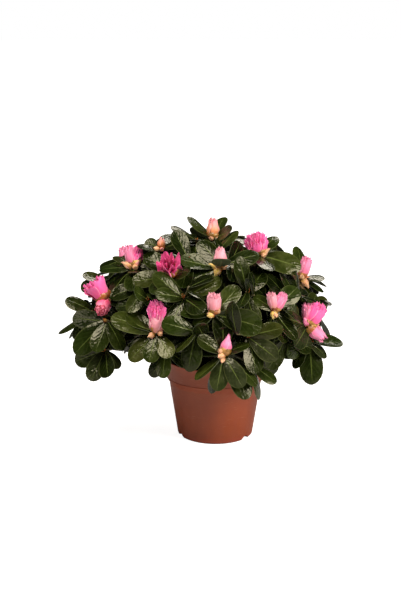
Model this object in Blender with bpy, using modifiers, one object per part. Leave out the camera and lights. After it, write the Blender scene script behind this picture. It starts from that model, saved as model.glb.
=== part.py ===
# Potted azalea: a short trunk with radiating boughs, rounded masses of leafy
# flowering shoots, the soil it grows in and its round plastic pot.
# Metres, +Z up. The origin is the centre of the pot's flat underside and the
# front of the plant looks along -Y. Azimuths run from the front towards +X.

import math
import random

import bmesh
import bpy
import numpy as np
from mathutils import Vector
from mathutils.bvhtree import BVHTree

SEED = 12
GAP = 0.0003

# Viewpoint from which the places in the picture are read: distance, height
# angle, the aim at the picture's middle and the lens in the picture's pixels
VIEW_DISTANCE = 1.6
VIEW_ELEVATION = 15.3
VIEW_AIM = Vector((-0.0176, 0.0, 0.1640))
VIEW_FOCAL_PIXELS = 1356.0
PICTURE_MIDDLE = (200.5, 300.5)

# Pot
POT_HEIGHT = 0.0955
RIM_RADIUS = 0.060
RIM_BAND = 0.022
RIM_UNDERSIDE = 0.007
WALL_TOP_RADIUS = 0.0548
WALL_FOOT_RADIUS = 0.0452
FOOT_CHAMFER = 0.0030
FOOT_RADIUS = 0.0428
WALL = 0.0014
FLOOR = 0.0020
POT_STEPS = 36
NOTCH_AZIMUTHS = (53.0, 173.0, 293.0)
NOTCH_RADIUS = 0.0080
NOTCH_HEIGHT = 0.0048
NOTCH_INNER = 0.0375
NOTCH_OUTER = 0.0520

# Soil
SOIL_TOP = 0.0850

# Trunk: height above the soil, sideways lean and radius at each level
TRUNK_LEVELS = (
    (0.000, 0.0000, 0.0100),
    (0.003, 0.0000, 0.0084),
    (0.009, -0.0006, 0.0070),
    (0.022, -0.0022, 0.0064),
    (0.036, -0.0045, 0.0058),
    (0.050, -0.0075, 0.0046),
)

# Crown: the rounded shell on which the shoots end
HEART = Vector((-0.014, 0.0, 0.135))
DOME = Vector((0.139, 0.114, 0.107))
CROWN_REACH = Vector((0.192, 0.164, 0.148))
FRONT_TURN = 0.32
BOUGH_SHARE = 0.52
BOUGH_RADII = (0.0026, 0.0017)
TIER_FIRST = 0.010
TIER_STEP = 0.0085
TIERS = 5
STEM_RADIUS = 0.0017
STEM_LENGTH = 0.008
TWIG_RADIUS = 0.0013
TIP_RADIUS = 0.0026
ROOT_OFFSET = 0.0009
TWIG_SIDES = 3
TIP_LENGTH = 0.016
BOUGH_CLEARANCE = 0.0012
TWIG_CLEARANCE = 0.0008
BOUGH_ROOM = 1.2
OUTLOOK = 0.045

# Leaves
LEAF_WIDTH = 0.49
LEAF_RIDGE = 0.020
LEAF_EDGE = 0.012
LEAF_CLEARANCE = 0.0006
LOWER_LEAVES = 2
SKIRT_HEIGHT = 0.098
SKIRT_SLOPE = 0.31
OPEN_SIDES = ((-0.108, -0.080), (0.074, 0.092))
OPEN_HEIGHT = 0.091
LOWEST_LEAF = 0.064

# Bloom: radius, height and flare of each kind
BLOOMS = {
    "small": (0.0042, 0.013, 0.0),
    "bud": (0.0057, 0.0215, 0.1),
    "half": (0.0084, 0.025, 0.4),
    "open": (0.0104, 0.0215, 0.4),
    "large": (0.0080, 0.031, 0.2),
    "tight": (0.0061, 0.0220, 0.3),
    "plump": (0.0069, 0.021, 0.1),
    "frill": (0.0050, 0.020, 0.3),
    "rose": (0.0083, 0.022, 0.2),
    "funnel": (0.0128, 0.028, 0.4),
    "wide": (0.0120, 0.027, 0.5),
}

# Front masses: each shoot has its azimuth, elevation, share of the dome's radius and leaf length, its
# blooms, the leaves that show in the picture, and the clock angles of its other leaves. A bloom has its
# kind, its top's place in the picture and its lean towards the viewer; a leaf has its tip's place, its
# lean and the degrees by which its blade is turned from the viewer
FRONT_MASSES = {
    "top": (
        (80, 84, 0.99, 0.042, (("plump", 213, 219, 0.3),),
         ((188, 217, 0.0, 62), (223, 215, -0.4, 40), (231, 229, 0.7, 50)), (262, 100)),
        (-50, 84, 0.96, 0.042, (), ((173, 225, 0.0, 62), (160, 237, 0.1, 58)), (60, 180, 240)),
        (165, 62, 0.93, 0.042, (), (), (80, 140, 200, 260)),
    ),
    "top_right": (
        (68, 53, 1.00, 0.044, (("open", 254, 235, 0.3), ("small", 270, 249, 0.4)),
         ((276, 235, -0.3, 40), (281, 249, 0.0, 62), (301, 267, 0.2, 25), (249, 269, 0.6, 40),
          (234, 246, 0.3, 60)), (190,)),
        (79, 41, 0.98, 0.042, (), ((269, 296, 0.5, 40),), (355, 180, 280)),
    ),
    "upper_front": (
        (16, 52, 1.00, 0.044, (("plump", 220, 248, 0.4), ("small", 209, 264, 0.5), ("small", 214, 277, 0.6)),
         ((201, 240, -0.5, 15), (258, 253, 0.1, 42), (177, 258, 0.1, 38), (183, 284, 0.3, 38),
          (192, 304, 0.2, 38), (258, 282, 0.2, 42), (229, 304, 0.5, 0), (221, 257, 0.95, 0)), ()),
        (-18, 60, 0.97, 0.042, (), (), (330, 30, 95, 190, 275)),
        (26, 68, 0.97, 0.040, (), ((237, 229, -0.3, 40),), (110, 230)),
    ),
    "top_left": (
        (-65, 42, 1.00, 0.044, (("tight", 127, 242, 0.1), ("frill", 140, 242, 0.0), ("small", 142, 254, 0.6),
                                ("small", 121, 262, 0.5), ("small", 133, 256, 0.9)),
         ((134, 289, 0.9, 0), (167, 255, -0.2, 30), (115, 255, -0.6, 60), (147, 253, -0.4, 66),
          (100, 268, 0.0, 60)), (215,)),
        (-65, 61, 1.00, 0.040, (("small", 161, 237, 0.3),),
         ((146, 241, 0.0, 25), (183, 242, 0.0, 48)), (210, 170)),
    ),
    "upper_left": (
        (-30, 46, 0.97, 0.042, (("wide", 169, 259, 0.9),), (), (310, 250, 205, 100, 55)),
        (-14, 32, 0.97, 0.044, (), (), (300, 255, 200, 130, 60)),
        (-45, 37, 0.95, 0.044, (), ((178, 281, 0.2, 0),), (250, 190, 140)),
    ),
    "left": (
        (-68, 19, 0.98, 0.042, (("funnel", 92, 281, 0.4), ("rose", 100, 312, 1.0)),
         ((128, 302, 0.3, 42),), (150,)),
        (-87, 25, 0.98, 0.042, (), ((84, 273, 0.0, 52), (81, 287, 0.0, 20)), (30,)),
    ),
    "left_low": (
        (-60, 10, 1.00, 0.048, (), ((74, 352, 0.3, 0), (96, 351, 0.5, 0), (124, 348, 0.5, 40)), (275,)),
        (-60, -5, 1.00, 0.046, (), ((91, 380, 0.4, 15), (106, 376, 0.8, 30), (120, 368, 0.6, 45)), (255,)),
        (-76, 10, 0.99, 0.040, (), ((67, 298, 0.0, 40), (79, 314, 0.3, 60), (58, 332, 0.0, 74)), (222,)),
    ),
    "front_left": (
        (-27, 10, 1.00, 0.044, (("large", 157, 303, 0.3),),
         ((128, 314, -0.2, 40), (112, 316, 0.0, 40), (185, 320, 0.0, 35), (129, 359, 0.3, 25),
          (148, 361, 0.5, 10), (171, 356, 0.5, 15)), ()),
        (-37, 27, 0.98, 0.042, (), ((135, 290, 0.5, 50),), (320, 262, 220, 150, 85)),
        (-22, 0, 0.95, 0.040, (), ((161, 377, 0.4, 22), (188, 364, -0.5, 30)), (250,)),
    ),
    "front": (
        (6, 22, 1.00, 0.046, (("half", 214, 294, 0.3), ("small", 207, 316, 0.7)),
         ((181, 312, 0.0, 55), (193, 325, 0.5, 45), (262, 325, 0.0, 0)), (330, 40)),
        (-4, 12, 0.99, 0.044, (), ((176, 351, 0.1, 68), (187, 371, -0.3, 25)), (285,)),
    ),
    "front_low": (
        (11, -1, 1.02, 0.046, (("bud", 229, 335, 0.3), ("small", 218, 357, 0.8)),
         ((188, 349, 0.1, 62), (199, 337, 0.0, 40), (195, 378, 0.2, 64), (216, 390, 0.4, 0),
          (250, 397, 0.0, 35), (206, 397, 0.0, 54), (260, 384, 0.1, 72), (248, 343, 0.1, 64)), (150,)),
        (28, -9, 1.00, 0.038, (), ((276, 347, 0.2, 60), (276, 382, 0.2, 42), (260, 399, 0.1, 66)), (200,)),
    ),
    "front_right": (
        (44, 19, 1.00, 0.044, (("tight", 271, 294, 0.5), ("tight", 284, 294, 0.2), ("small", 273, 319, 0.8)),
         ((255, 296, 0.2, 40), (296, 287, -0.5, 10), (297, 339, 0.2, 45), (285, 342, 0.4, 54),
          (262, 353, 0.2, 45), (273, 291, -0.5, 60)), ()),
        (31, 33, 0.98, 0.044, (), ((240, 305, 0.6, 54),), (340, 40, 105, 170)),
        (26, 8, 0.97, 0.046, (), (), (75, 130, 180, 235)),
    ),
    "right": (
        (95, 25, 0.99, 0.042, (("tight", 308, 256, 0.3), ("small", 309, 288, 0.6)),
         ((298, 246, -0.8, 45), (324, 277, 0.0, 64), (327, 291, 0.1, 62), (318, 300, 0.0, 60)), (280,)),
        (62, 22, 0.98, 0.044, (), (), (330, 20, 150, 230)),
        (94, 5, 0.90, 0.044, (), (), (10, 70, 140, 200, 280)),
    ),
    "right_low": (
        (66, 6, 1.00, 0.044, (("tight", 307, 299, 0.3), ("half", 322, 303, 0.3), ("plump", 326, 341, 0.2),
                              ("small", 304, 318, 1.0), ("small", 322, 328, 0.6)), (), (230, 280)),
        (51, 4, 0.98, 0.044, (), (), (250, 210, 165, 110)),
        (67, -2, 0.99, 0.048, (), ((314, 384, 0.2, 0), (343, 341, -0.6, 55), (282, 356, 0.3, 25),
                                   (327, 356, 0.0, 60), (293, 367, 0.1, 54)), ()),
    ),
}

# Back masses: rings with their elevation, share of the dome's radius and
# azimuths, each mass with three shoots
BACK_RINGS = (
    ("back_low", 5, 1.00, (114, 147, 182, 217, 248)),
    ("back_mid", 28, 0.96, (124, 163, 203, 238)),
    ("back_high", 54, 0.91, (150, 213)),
)
BACK_SPREAD = 13.0
BACK_LEAF = 0.044
GOLDEN_ANGLE = 137.5


def direction(azimuth, elevation):
    a = math.radians(azimuth)
    e = math.radians(elevation)
    return Vector((math.sin(a) * math.cos(e), -math.cos(a) * math.cos(e), math.sin(e)))


def dome_point(azimuth, elevation, share):
    d = direction(azimuth, elevation)
    scale = 1.0 / math.sqrt(sum((d[i] / DOME[i]) ** 2 for i in range(3)))
    return HEART + d * scale * share


def dome_facing(point, turn):
    # outward and somewhat up; the front shoots also turn a little to the front
    r = point - HEART
    normal = Vector((r[i] / DOME[i] ** 2 for i in range(3))).normalized()
    return (normal + Vector((0.0, -turn, 0.30))).normalized()


def clock_side(facing, clock):
    # the direction across a shoot at a clock angle, 0 being up, seen from outside
    up = Vector((0.0, 0.35, 1.0))
    up = (up - facing * up.dot(facing)).normalized()
    right = up.cross(facing)
    a = math.radians(clock)
    return up * math.cos(a) + right * math.sin(a)


def bezier(a, b, c, d, count):
    points = []
    for i in range(count):
        t = i / (count - 1)
        s = 1.0 - t
        points.append(a * s ** 3 + b * (3 * s * s * t) + c * (3 * s * t * t) + d * t ** 3)
    return points


def chain(points, radii, step=0.002):
    # balls along a limb, for telling whether two limbs touch
    balls = []
    for i in range(len(points) - 1):
        length = (points[i + 1] - points[i]).length
        count = max(1, int(length / step))
        for k in range(count):
            t = k / count
            p = points[i].lerp(points[i + 1], t)
            balls.append((p.x, p.y, p.z, radii[i] * (1 - t) + radii[i + 1] * t))
    balls.append((*points[-1], radii[-1]))
    return np.array(balls)


def chains_gap(one, other):
    d = np.linalg.norm(one[:, None, :3] - other[None, :, :3], axis=2)
    return float((d - one[:, None, 3] - other[None, :, 3]).min())


def tube(points, radii, sides):
    # a loft of regular rings along a polyline, with flat ends
    vertices = []
    axis = (points[1] - points[0]).normalized()
    across = axis.orthogonal().normalized()
    for i, point in enumerate(points):
        before = points[max(i - 1, 0)]
        after = points[min(i + 1, len(points) - 1)]
        axis = (after - before).normalized()
        across = (across - axis * across.dot(axis)).normalized()
        other = axis.cross(across)
        for k in range(sides):
            a = 2 * math.pi * k / sides
            vertices.append(point + (across * math.cos(a) + other * math.sin(a)) * radii[i])
    faces = [tuple(range(sides))[::-1]]
    for i in range(len(points) - 1):
        for k in range(sides):
            n = (k + 1) % sides
            low = i * sides
            high = low + sides
            faces.append((low + k, low + n, high + n, high + k))
    faces.append(tuple(range((len(points) - 1) * sides, len(points) * sides)))
    return vertices, faces


def leaf_solid(leaf, grow=0.0):
    # a spoon-shaped blade, raised in the middle, with its root drawn to a point
    root, along, normal = leaf["root"], leaf["along"], leaf["normal"]
    length, width = leaf["length"], leaf["width"]
    side = along.cross(normal)
    ridge = (LEAF_RIDGE * length + grow) * leaf["cup"]
    edge = (LEAF_EDGE * length + grow) * leaf["cup"]

    def place(t, x, lift):
        y = length * t + (grow if t > 0.5 else 0.0)
        return root + along * y + side * x + normal * (lift - leaf["droop"] * length * t * t)

    points = [place(0.0, 0.0, 0.0)]
    for t, share in ((0.38, 0.84), (0.74, 0.96)):
        half = width * 0.5 * share + grow
        points += [place(t, -half, -edge), place(t, half, -edge)]
    points += [place(1.0, 0.0, 0.0), place(0.56, 0.0, ridge)]
    faces = [(0, 6, 1), (1, 6, 3), (3, 6, 5), (5, 6, 4), (4, 6, 2), (2, 6, 0),
             (0, 1, 2), (1, 3, 4, 2), (3, 5, 4)]
    return points, faces


def blade_solid(leaf, grow=0.0):
    # the outer part of a leaf, which keeps clear of the leaves of its own shoot
    points, faces = leaf_solid(leaf, grow)
    outer = [p.copy() for p in points]
    outer[0] = points[0].lerp((points[1] + points[2]) * 0.5, 0.55)
    return outer, faces


def bloom_solid(bloom):
    # a rounded body of six sides, widest at the middle and wider above by its flare
    turn = bloom["axis"].to_track_quat("Z", "Y").to_matrix()
    vertices = []
    for i in range(1, 4):
        a = math.pi * i / 4
        for k in range(6):
            b = 2 * math.pi * k / 6
            z = math.cos(a)
            widen = (1.0 + bloom["flare"] * z) * bloom["radius"] * math.sin(a)
            vertices.append(bloom["base"] + turn @ Vector(
                (widen * math.cos(b), widen * math.sin(b), (z + 1.0) * 0.5 * bloom["height"])))
    top = bloom["base"] + turn @ Vector((0.0, 0.0, bloom["height"]))
    vertices += [top, bloom["base"].copy()]
    faces = []
    for k in range(6):
        n = (k + 1) % 6
        faces += [(18, k, n), (k, 6 + k, 6 + n, n), (6 + k, 12 + k, 12 + n, 6 + n), (12 + k, 19, 12 + n)]
    return vertices, faces


def ball_of(points):
    centre = sum(points, Vector()) / len(points)
    return centre, max((p - centre).length for p in points)


def trunk_line():
    return [Vector((x, 0.0, SOIL_TOP + GAP + z)) for z, x, r in TRUNK_LEVELS]


def trunk_at(height):
    levels = TRUNK_LEVELS
    for low, high in zip(levels, levels[1:]):
        if height <= high[0]:
            t = (height - low[0]) / (high[0] - low[0])
            return (Vector((low[1] + (high[1] - low[1]) * t, 0.0, SOIL_TOP + GAP + height)),
                    low[2] + (high[2] - low[2]) * t)
    return trunk_line()[-1], levels[-1][2]


def shoot_list():
    # every mass with its shoots, front ones from the table and back ones by rule
    rng = random.Random(SEED)
    masses = []
    for name, shoots in FRONT_MASSES.items():
        masses.append({"name": name, "front": True, "shoots": [
            {"azimuth": s[0], "elevation": s[1], "share": s[2], "leaf": s[3],
             "blooms": s[4], "seen": s[5], "clocks": s[6]} for s in shoots]})
    for ring, elevation, share, azimuths in BACK_RINGS:
        for count, azimuth in enumerate(azimuths):
            shoots = []
            start = rng.uniform(0, 120)
            for k in range(3):
                turn = math.radians(start + 120 * k)
                spread = BACK_SPREAD * rng.uniform(0.85, 1.15)
                first = rng.uniform(0, 360)
                kind = rng.choice(("bud", "half", "tight", "plump")) if k == 0 and elevation < 50 else None
                shoots.append({
                    "azimuth": azimuth + spread * math.cos(turn) / math.cos(math.radians(elevation)),
                    "elevation": elevation + spread * math.sin(turn),
                    "share": share * rng.uniform(0.97, 1.03),
                    "leaf": BACK_LEAF * rng.uniform(0.92, 1.08),
                    "blooms": ((kind,),) if kind and azimuth < 240 else (),
                    "seen": (),
                    "clocks": tuple(first + 72 * i + rng.uniform(-13, 13) for i in range(5)),
                })
            masses.append({"name": "%s_%d" % (ring, count + 1), "front": False, "shoots": shoots})
    for mass in masses:
        for shoot in mass["shoots"]:
            shoot["tip"] = dome_point(shoot["azimuth"], shoot["elevation"], shoot["share"])
            shoot["facing"] = dome_facing(shoot["tip"], FRONT_TURN if mass["front"] else 0.0)
        centre = sum((s["tip"] for s in mass["shoots"]), Vector()) / len(mass["shoots"])
        low, r = trunk_at(0.034)
        mass["start"] = low + (centre - low) * BOUGH_SHARE
        mass["along"] = (centre - mass["start"]).normalized()
        mass["height"] = math.degrees(math.atan2(mass["along"].z, mass["along"].xy.length))
    return masses


def grow_boughs(masses):
    # boughs leave the trunk in tiers, the lowest masses from the lowest tier
    order = sorted(masses, key=lambda m: m["height"])
    tip_mass = order[-1]
    placed = []
    for number, mass in enumerate(order):
        goal = mass["start"]
        best = None
        if mass is tip_mass:
            line = trunk_line()
            axis = (line[-1] - line[-2]).normalized()
            seats = [(line[-1] + axis * GAP, axis)]
        else:
            tier = number * TIERS // (len(order) - 1)
            seats = []
            for shift in (0, 14, -14, 28, -28, 42, -42, 56, -56, 70, -70, 90, -90):
                for level in (0.0, 0.003, -0.003, 0.006, -0.006):
                    height = TIER_FIRST + tier * TIER_STEP + level
                    if not 0.008 < height < TRUNK_LEVELS[-1][0] - 0.0035:
                        continue
                    centre, radius = trunk_at(height)
                    above, less = trunk_at(height + 0.001)
                    axis = (above - centre).normalized()
                    azimuth = math.degrees(math.atan2(goal.x - centre.x, -(goal.y - centre.y))) + shift
                    out = direction(azimuth, 0)
                    out = (out - axis * out.dot(axis)).normalized()
                    out = (out + axis * (radius - less) / 0.001).normalized()
                    seats.append((centre + out * (radius + GAP), out))
        for seat, out in seats:
            reach = (goal - seat).length
            lead = seat + out * 0.004
            bend = goal - mass["along"] * 0.004
            middle = bezier(lead, lead + out * reach * 0.30, bend - mass["along"] * reach * 0.30, bend, 4)
            points = [seat] + middle + [goal]
            if mass is tip_mass:
                base = TRUNK_LEVELS[-1][2] * 0.62
            else:
                base = BOUGH_RADII[0]
            radii = [base + (BOUGH_RADII[1] - base) * i / (len(points) - 1) for i in range(len(points))]
            balls = chain(points, radii)
            gap = min([chains_gap(balls, other["balls"]) for other in placed] or [1.0])
            if best is None or gap > best["gap"]:
                best = {"points": points, "radii": radii, "balls": balls, "gap": gap}
            if gap > BOUGH_CLEARANCE:
                break
        placed.append(best)
        mass["bough"] = best


def grow_twigs(masses):
    # one stem from the bough's tip, forking to each shoot
    limbs = [mass["bough"]["balls"] for mass in masses]
    line = trunk_line()
    limbs.append(chain(line, [r for z, x, r in TRUNK_LEVELS]))
    twigs = []
    for index, mass in enumerate(masses):
        base = mass["start"] + mass["along"] * GAP
        mass["stem"] = ([base, base + mass["along"] * STEM_LENGTH], [STEM_RADIUS, STEM_RADIUS])
        twigs.append((index, chain(*mass["stem"])))
    for index, mass in enumerate(masses):
        fork = mass["stem"][0][1] - mass["along"] * 0.003
        kept = []
        for shoot in mass["shoots"]:
            tip, facing = shoot["tip"], shoot["facing"]
            back = tip - facing * TIP_LENGTH
            reach = (back - fork).length
            found = None
            for bend in (0.34, 0.2, 0.5, 0.05):
                middle = bezier(fork, fork + mass["along"] * reach * bend,
                                back - facing * reach * bend, back, 4)
                points = middle + [tip]
                radii = [TWIG_RADIUS] * 3 + [TWIG_RADIUS * 1.15, TIP_RADIUS]
                balls = chain(points, radii)
                others = [b for i, b in twigs if i != index] + limbs
                near = min(chains_gap(balls, b) for b in others)
                if near > TWIG_CLEARANCE:
                    found = (points, radii, balls)
                    break
            if found:
                shoot["twig"] = found[:2]
                twigs.append((index, found[2]))
                kept.append(shoot)
            else:
                print("shoot left out in", mass["name"])
        mass["shoots"] = kept


def outside_space(points, hanging, seen):
    # whether a leaf would leave the crown, touch the pot or fill the open sides under it
    for p in points:
        r = p - HEART
        if sum((r[i] / CROWN_REACH[i]) ** 2 for i in range(3)) > 1.0:
            return True
        if p.z < LOWEST_LEAF:
            return True
        across = math.hypot(p.x, p.y)
        if p.z < POT_HEIGHT + 0.002 and across < RIM_RADIUS + 0.0015:
            return True
        if seen:
            continue
        level = p.z + SKIRT_SLOPE * p.y
        if level < SKIRT_HEIGHT and not hanging:
            return True
        if level < OPEN_HEIGHT and any(low < p.x < high for low, high in OPEN_SIDES):
            return True
    return False


class Room:
    # what already fills the crown: limbs, blooms and leaves with their owners, and the outlooks of the blooms
    def __init__(self):
        self.held = []
        self.outlooks = []

    def add(self, owner, solid, kind=None):
        self.held.append((owner, *ball_of(solid[0]), BVHTree.FromPolygons(*solid), kind))

    def keep_outlook(self, bloom, way):
        start = bloom["base"] + bloom["axis"] * bloom["height"] * 0.62 + way * bloom["radius"] * 0.5
        width = bloom["radius"] * 0.75
        solid = tube([start, start + way * OUTLOOK], [width, width], 6)
        self.outlooks.append((*ball_of(solid[0]), BVHTree.FromPolygons(*solid)))

    def near(self, centre, reach):
        for item in self.held:
            if (item[1] - centre).length < reach + item[2]:
                yield item

    def fits(self, leaf, index, hanging, seen):
        full, faces = leaf_solid(leaf, LEAF_CLEARANCE)
        if outside_space(full[1:], hanging, seen):
            return False
        centre, reach = ball_of(full)
        whole = BVHTree.FromPolygons(full, faces)
        plain = BVHTree.FromPolygons(*leaf_solid(leaf))
        if not seen and any((middle - centre).length < reach + span and whole.overlap(tree)
                            for middle, span, tree in self.outlooks):
            return False
        outer = None
        for owner, other_centre, other_reach, tree, kind in self.near(centre, reach):
            if owner != index:
                if whole.overlap(tree) or plain.overlap(tree):
                    return False
            elif kind is not None:
                if outer is None:
                    outer = BVHTree.FromPolygons(*blade_solid(leaf))
                if outer.overlap(tree):
                    return False
        return True


def grow_leaves(masses, room):
    for index, mass in enumerate(masses):
        room.add(index, tube(*mass["stem"], TWIG_SIDES))
        for shoot in mass["shoots"]:
            room.add(index, tube(*shoot["twig"], TWIG_SIDES))
        room.add(-1, tube(mass["bough"]["points"], [r * BOUGH_ROOM for r in mass["bough"]["radii"]], 6))
    room.add(-1, tube(trunk_line(), [r for z, x, r in TRUNK_LEVELS], 12))
    shoots = []
    for index, mass in enumerate(masses):
        mass["leaves"] = []
        mass["blooms"] = []
        for number, shoot in enumerate(mass["shoots"]):
            shoot["key"] = "%s-%d" % (mass["name"], number)
            shoots.append((index, shoot))

    # blooms first, so that leaves part around them
    for index, shoot in shoots:
        for kind, *spot in shoot["blooms"]:
            radius, height, flare = BLOOMS[kind]
            base = shoot["tip"] - shoot["facing"] * 0.0015
            if spot:
                offset = towards_spot(base, spot[0], spot[1], height, spot[2])
            else:
                offset = (shoot["facing"] + Vector((0.0, 0.0, 0.55))).normalized() * height
            size = min(offset.length / height, 1.12)
            bloom = {"base": base, "axis": offset.normalized(), "radius": radius * size,
                     "height": height * size, "flare": flare}
            solid = bloom_solid(bloom)
            centre, reach = ball_of(solid[0])
            tree = BVHTree.FromPolygons(*solid)
            if any(item[0] != index and tree.overlap(item[3]) for item in room.near(centre, reach)):
                print("bloom left out on", shoot["key"])
                continue
            masses[index]["blooms"].append(bloom)
            room.add(index, solid, "bloom")
            room.keep_outlook(bloom, towards_viewer() if masses[index]["front"] else shoot["facing"])

    for index, shoot in shoots:
        for i, seen in enumerate(shoot["seen"]):
            rng = random.Random("%d-%s-seen-%d" % (SEED, shoot["key"], i))
            if not add_seen_leaf(masses, room, index, shoot, seen, i, rng):
                print("leaf left out on", shoot["key"], seen)
    for index, shoot in shoots:
        count = len(shoot["clocks"])
        for i, clock in enumerate(shoot["clocks"]):
            rng = random.Random("%d-%s-%d" % (SEED, shoot["key"], i))
            depth = 0.0030 + 0.0034 * i / count
            length = shoot["leaf"] * rng.uniform(0.88, 1.08)
            add_leaf(masses, room, index, shoot, clock, depth, 76 + rng.uniform(-8, 8), length, 1, rng)
    for index, shoot in shoots:
        rng = random.Random("%d-%s-lower" % (SEED, shoot["key"]))
        first = rng.uniform(0, 360)
        for i in range(LOWER_LEAVES):
            clock = first + GOLDEN_ANGLE * i
            length = shoot["leaf"] * rng.uniform(0.92, 1.12)
            add_leaf(masses, room, index, shoot, clock, 0.0085 + 0.0022 * i,
                    92 + rng.uniform(-8, 8), length, 2, rng)
    print("leaves", sum(len(m["leaves"]) for m in masses))


def towards_viewer():
    tilt = math.radians(VIEW_ELEVATION)
    return Vector((0.0, -math.cos(tilt), math.sin(tilt)))


def towards_spot(start, x, y, length, lean):
    # the way from a point to where its far end shows in the picture, leaning to or from the viewer
    tilt = math.radians(VIEW_ELEVATION)
    forward = Vector((0.0, math.cos(tilt), -math.sin(tilt)))
    up = Vector((0.0, math.sin(tilt), math.cos(tilt)))
    eye = VIEW_AIM - forward * VIEW_DISTANCE
    ray = (forward + Vector((1.0, 0.0, 0.0)) * ((x - PICTURE_MIDDLE[0]) / VIEW_FOCAL_PIXELS)
           - up * ((y - PICTURE_MIDDLE[1]) / VIEW_FOCAL_PIXELS))
    flat = eye + ray * (start - eye).dot(forward) - start
    spare = math.sqrt(max(length * length - flat.length_squared, 0.1 * length * length))
    return flat - ray.normalized() * spare * lean


def turned_normal(along, facing, turn):
    # the upper side of a blade: turned to the viewer, then rolled away from them towards the sky
    viewer = towards_viewer()
    broad = (viewer - along * viewer.dot(along)).normalized()
    side = along.cross(broad)
    sky = facing * 0.6 + Vector((0.0, 0.0, 1.0))
    a = math.radians(turn)
    normal = broad * math.cos(a) + side * math.sin(a) * (1 if side.dot(sky) > 0 else -1)
    return normal if normal.dot(sky) > -0.15 else -normal


def add_seen_leaf(masses, room, index, shoot, seen, number, rng):
    x, y, lean, turn = seen
    facing = shoot["facing"]
    droop = rng.uniform(0.02, 0.07)
    cup = 1 if rng.random() < 0.75 else -1
    wide = LEAF_WIDTH * rng.uniform(1.0, 1.16)
    root = shoot["tip"] - facing * (0.0010 + 0.0005 * number)
    for shift, roll, size in ((0, 0, 1), (0.2, 0, 1), (-0.2, 0, 1), (0, 15, 0.96), (0, -15, 0.96),
                              (0.4, 0, 0.94), (-0.4, 0, 0.94), (0.2, 25, 0.9), (-0.2, 25, 0.9),
                              (0.6, 0, 0.88), (-0.6, 0, 0.88), (0.3, -25, 0.84), (-0.3, 40, 0.84)):
        offset = towards_spot(root, x, y, shoot["leaf"], max(-1.0, min(1.0, lean + shift))) * size
        along = offset.normalized()
        normal = turned_normal(along, facing, turn + roll)
        length = offset.length
        leaf = {"root": root + along * ROOT_OFFSET, "along": along, "normal": normal,
                "length": length, "width": max(length, shoot["leaf"] * 0.8) * wide * size,
                "droop": droop, "cup": cup}
        if room.fits(leaf, index, True, True):
            masses[index]["leaves"].append(leaf)
            room.add(index, leaf_solid(leaf))
            room.add(index, blade_solid(leaf), "leaf")
            return True
    return False


def add_leaf(masses, room, index, shoot, clock, depth, tilt, length, whorl, rng):
    facing = shoot["facing"]
    droop = rng.uniform(0.06, 0.20)
    cup = 1 if rng.random() < 0.7 else -1
    width = length * LEAF_WIDTH * rng.uniform(0.90, 1.12)
    hanging = shoot["elevation"] < 12 and masses[index]["front"]
    for shift, turn, size in ((0, 0, 1), (-9, 0, 1), (9, 0, 1), (-18, 0, 0.95), (0, 9, 0.95),
                              (0, -9, 0.95), (16, 0, 0.9), (-27, 8, 0.9), (-12, -14, 0.85)):
        side = clock_side(facing, clock + turn)
        a = math.radians(tilt + shift)
        along = (facing * math.cos(a) + side * math.sin(a)).normalized()
        normal = (facing * math.sin(a) - side * math.cos(a)).normalized()
        inset = ROOT_OFFSET if whorl == 1 else -0.0004
        leaf = {"root": shoot["tip"] - facing * depth + side * inset, "along": along,
                "normal": normal, "length": length * size, "width": width * size,
                "droop": droop, "cup": cup}
        if room.fits(leaf, index, hanging, False):
            masses[index]["leaves"].append(leaf)
            room.add(index, leaf_solid(leaf))
            room.add(index, blade_solid(leaf), "leaf")
            return True
    return False


def grow():
    masses = shoot_list()
    grow_boughs(masses)
    grow_twigs(masses)
    grow_leaves(masses, Room())
    return masses


def clear_scene():
    for item in list(bpy.data.objects):
        bpy.data.objects.remove(item, do_unlink=True)
    for item in list(bpy.data.collections):
        bpy.data.collections.remove(item)


def collection(name):
    made = bpy.data.collections.new(name)
    bpy.context.scene.collection.children.link(made)
    return made


def material(name, colour, roughness, metallic=0.0):
    made = bpy.data.materials.new(name)
    made.use_nodes = True
    shader = made.node_tree.nodes["Principled BSDF"]
    shader.inputs["Base Color"].default_value = (*colour, 1.0)
    shader.inputs["Roughness"].default_value = roughness
    shader.inputs["Metallic"].default_value = metallic
    made.diffuse_color = (*colour, 1.0)
    return made


def mesh_object(name, vertices, faces, group):
    mesh = bpy.data.meshes.new(name)
    mesh.from_pydata([tuple(v) for v in vertices], [], faces)
    bm = bmesh.new()
    bm.from_mesh(mesh)
    bmesh.ops.recalc_face_normals(bm, faces=bm.faces[:])
    bmesh.ops.triangulate(bm, faces=bm.faces[:])
    bm.to_mesh(mesh)
    bm.free()
    made = bpy.data.objects.new(name, mesh)
    group.objects.link(made)
    return made


def turned(name, profile, steps, group):
    # a profile of radius and height turned once round the Z axis
    mesh = bpy.data.meshes.new(name)
    mesh.from_pydata([(r, 0.0, z) for r, z in profile], [(i, i + 1) for i in range(len(profile) - 1)], [])
    made = bpy.data.objects.new(name, mesh)
    group.objects.link(made)
    screw = made.modifiers.new("Screw", "SCREW")
    screw.axis = "Z"
    screw.angle = 2 * math.pi
    screw.steps = steps
    screw.render_steps = steps
    screw.use_merge_vertices = True
    screw.merge_threshold = 0.00002
    screw.use_smooth_shade = True
    return made


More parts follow.
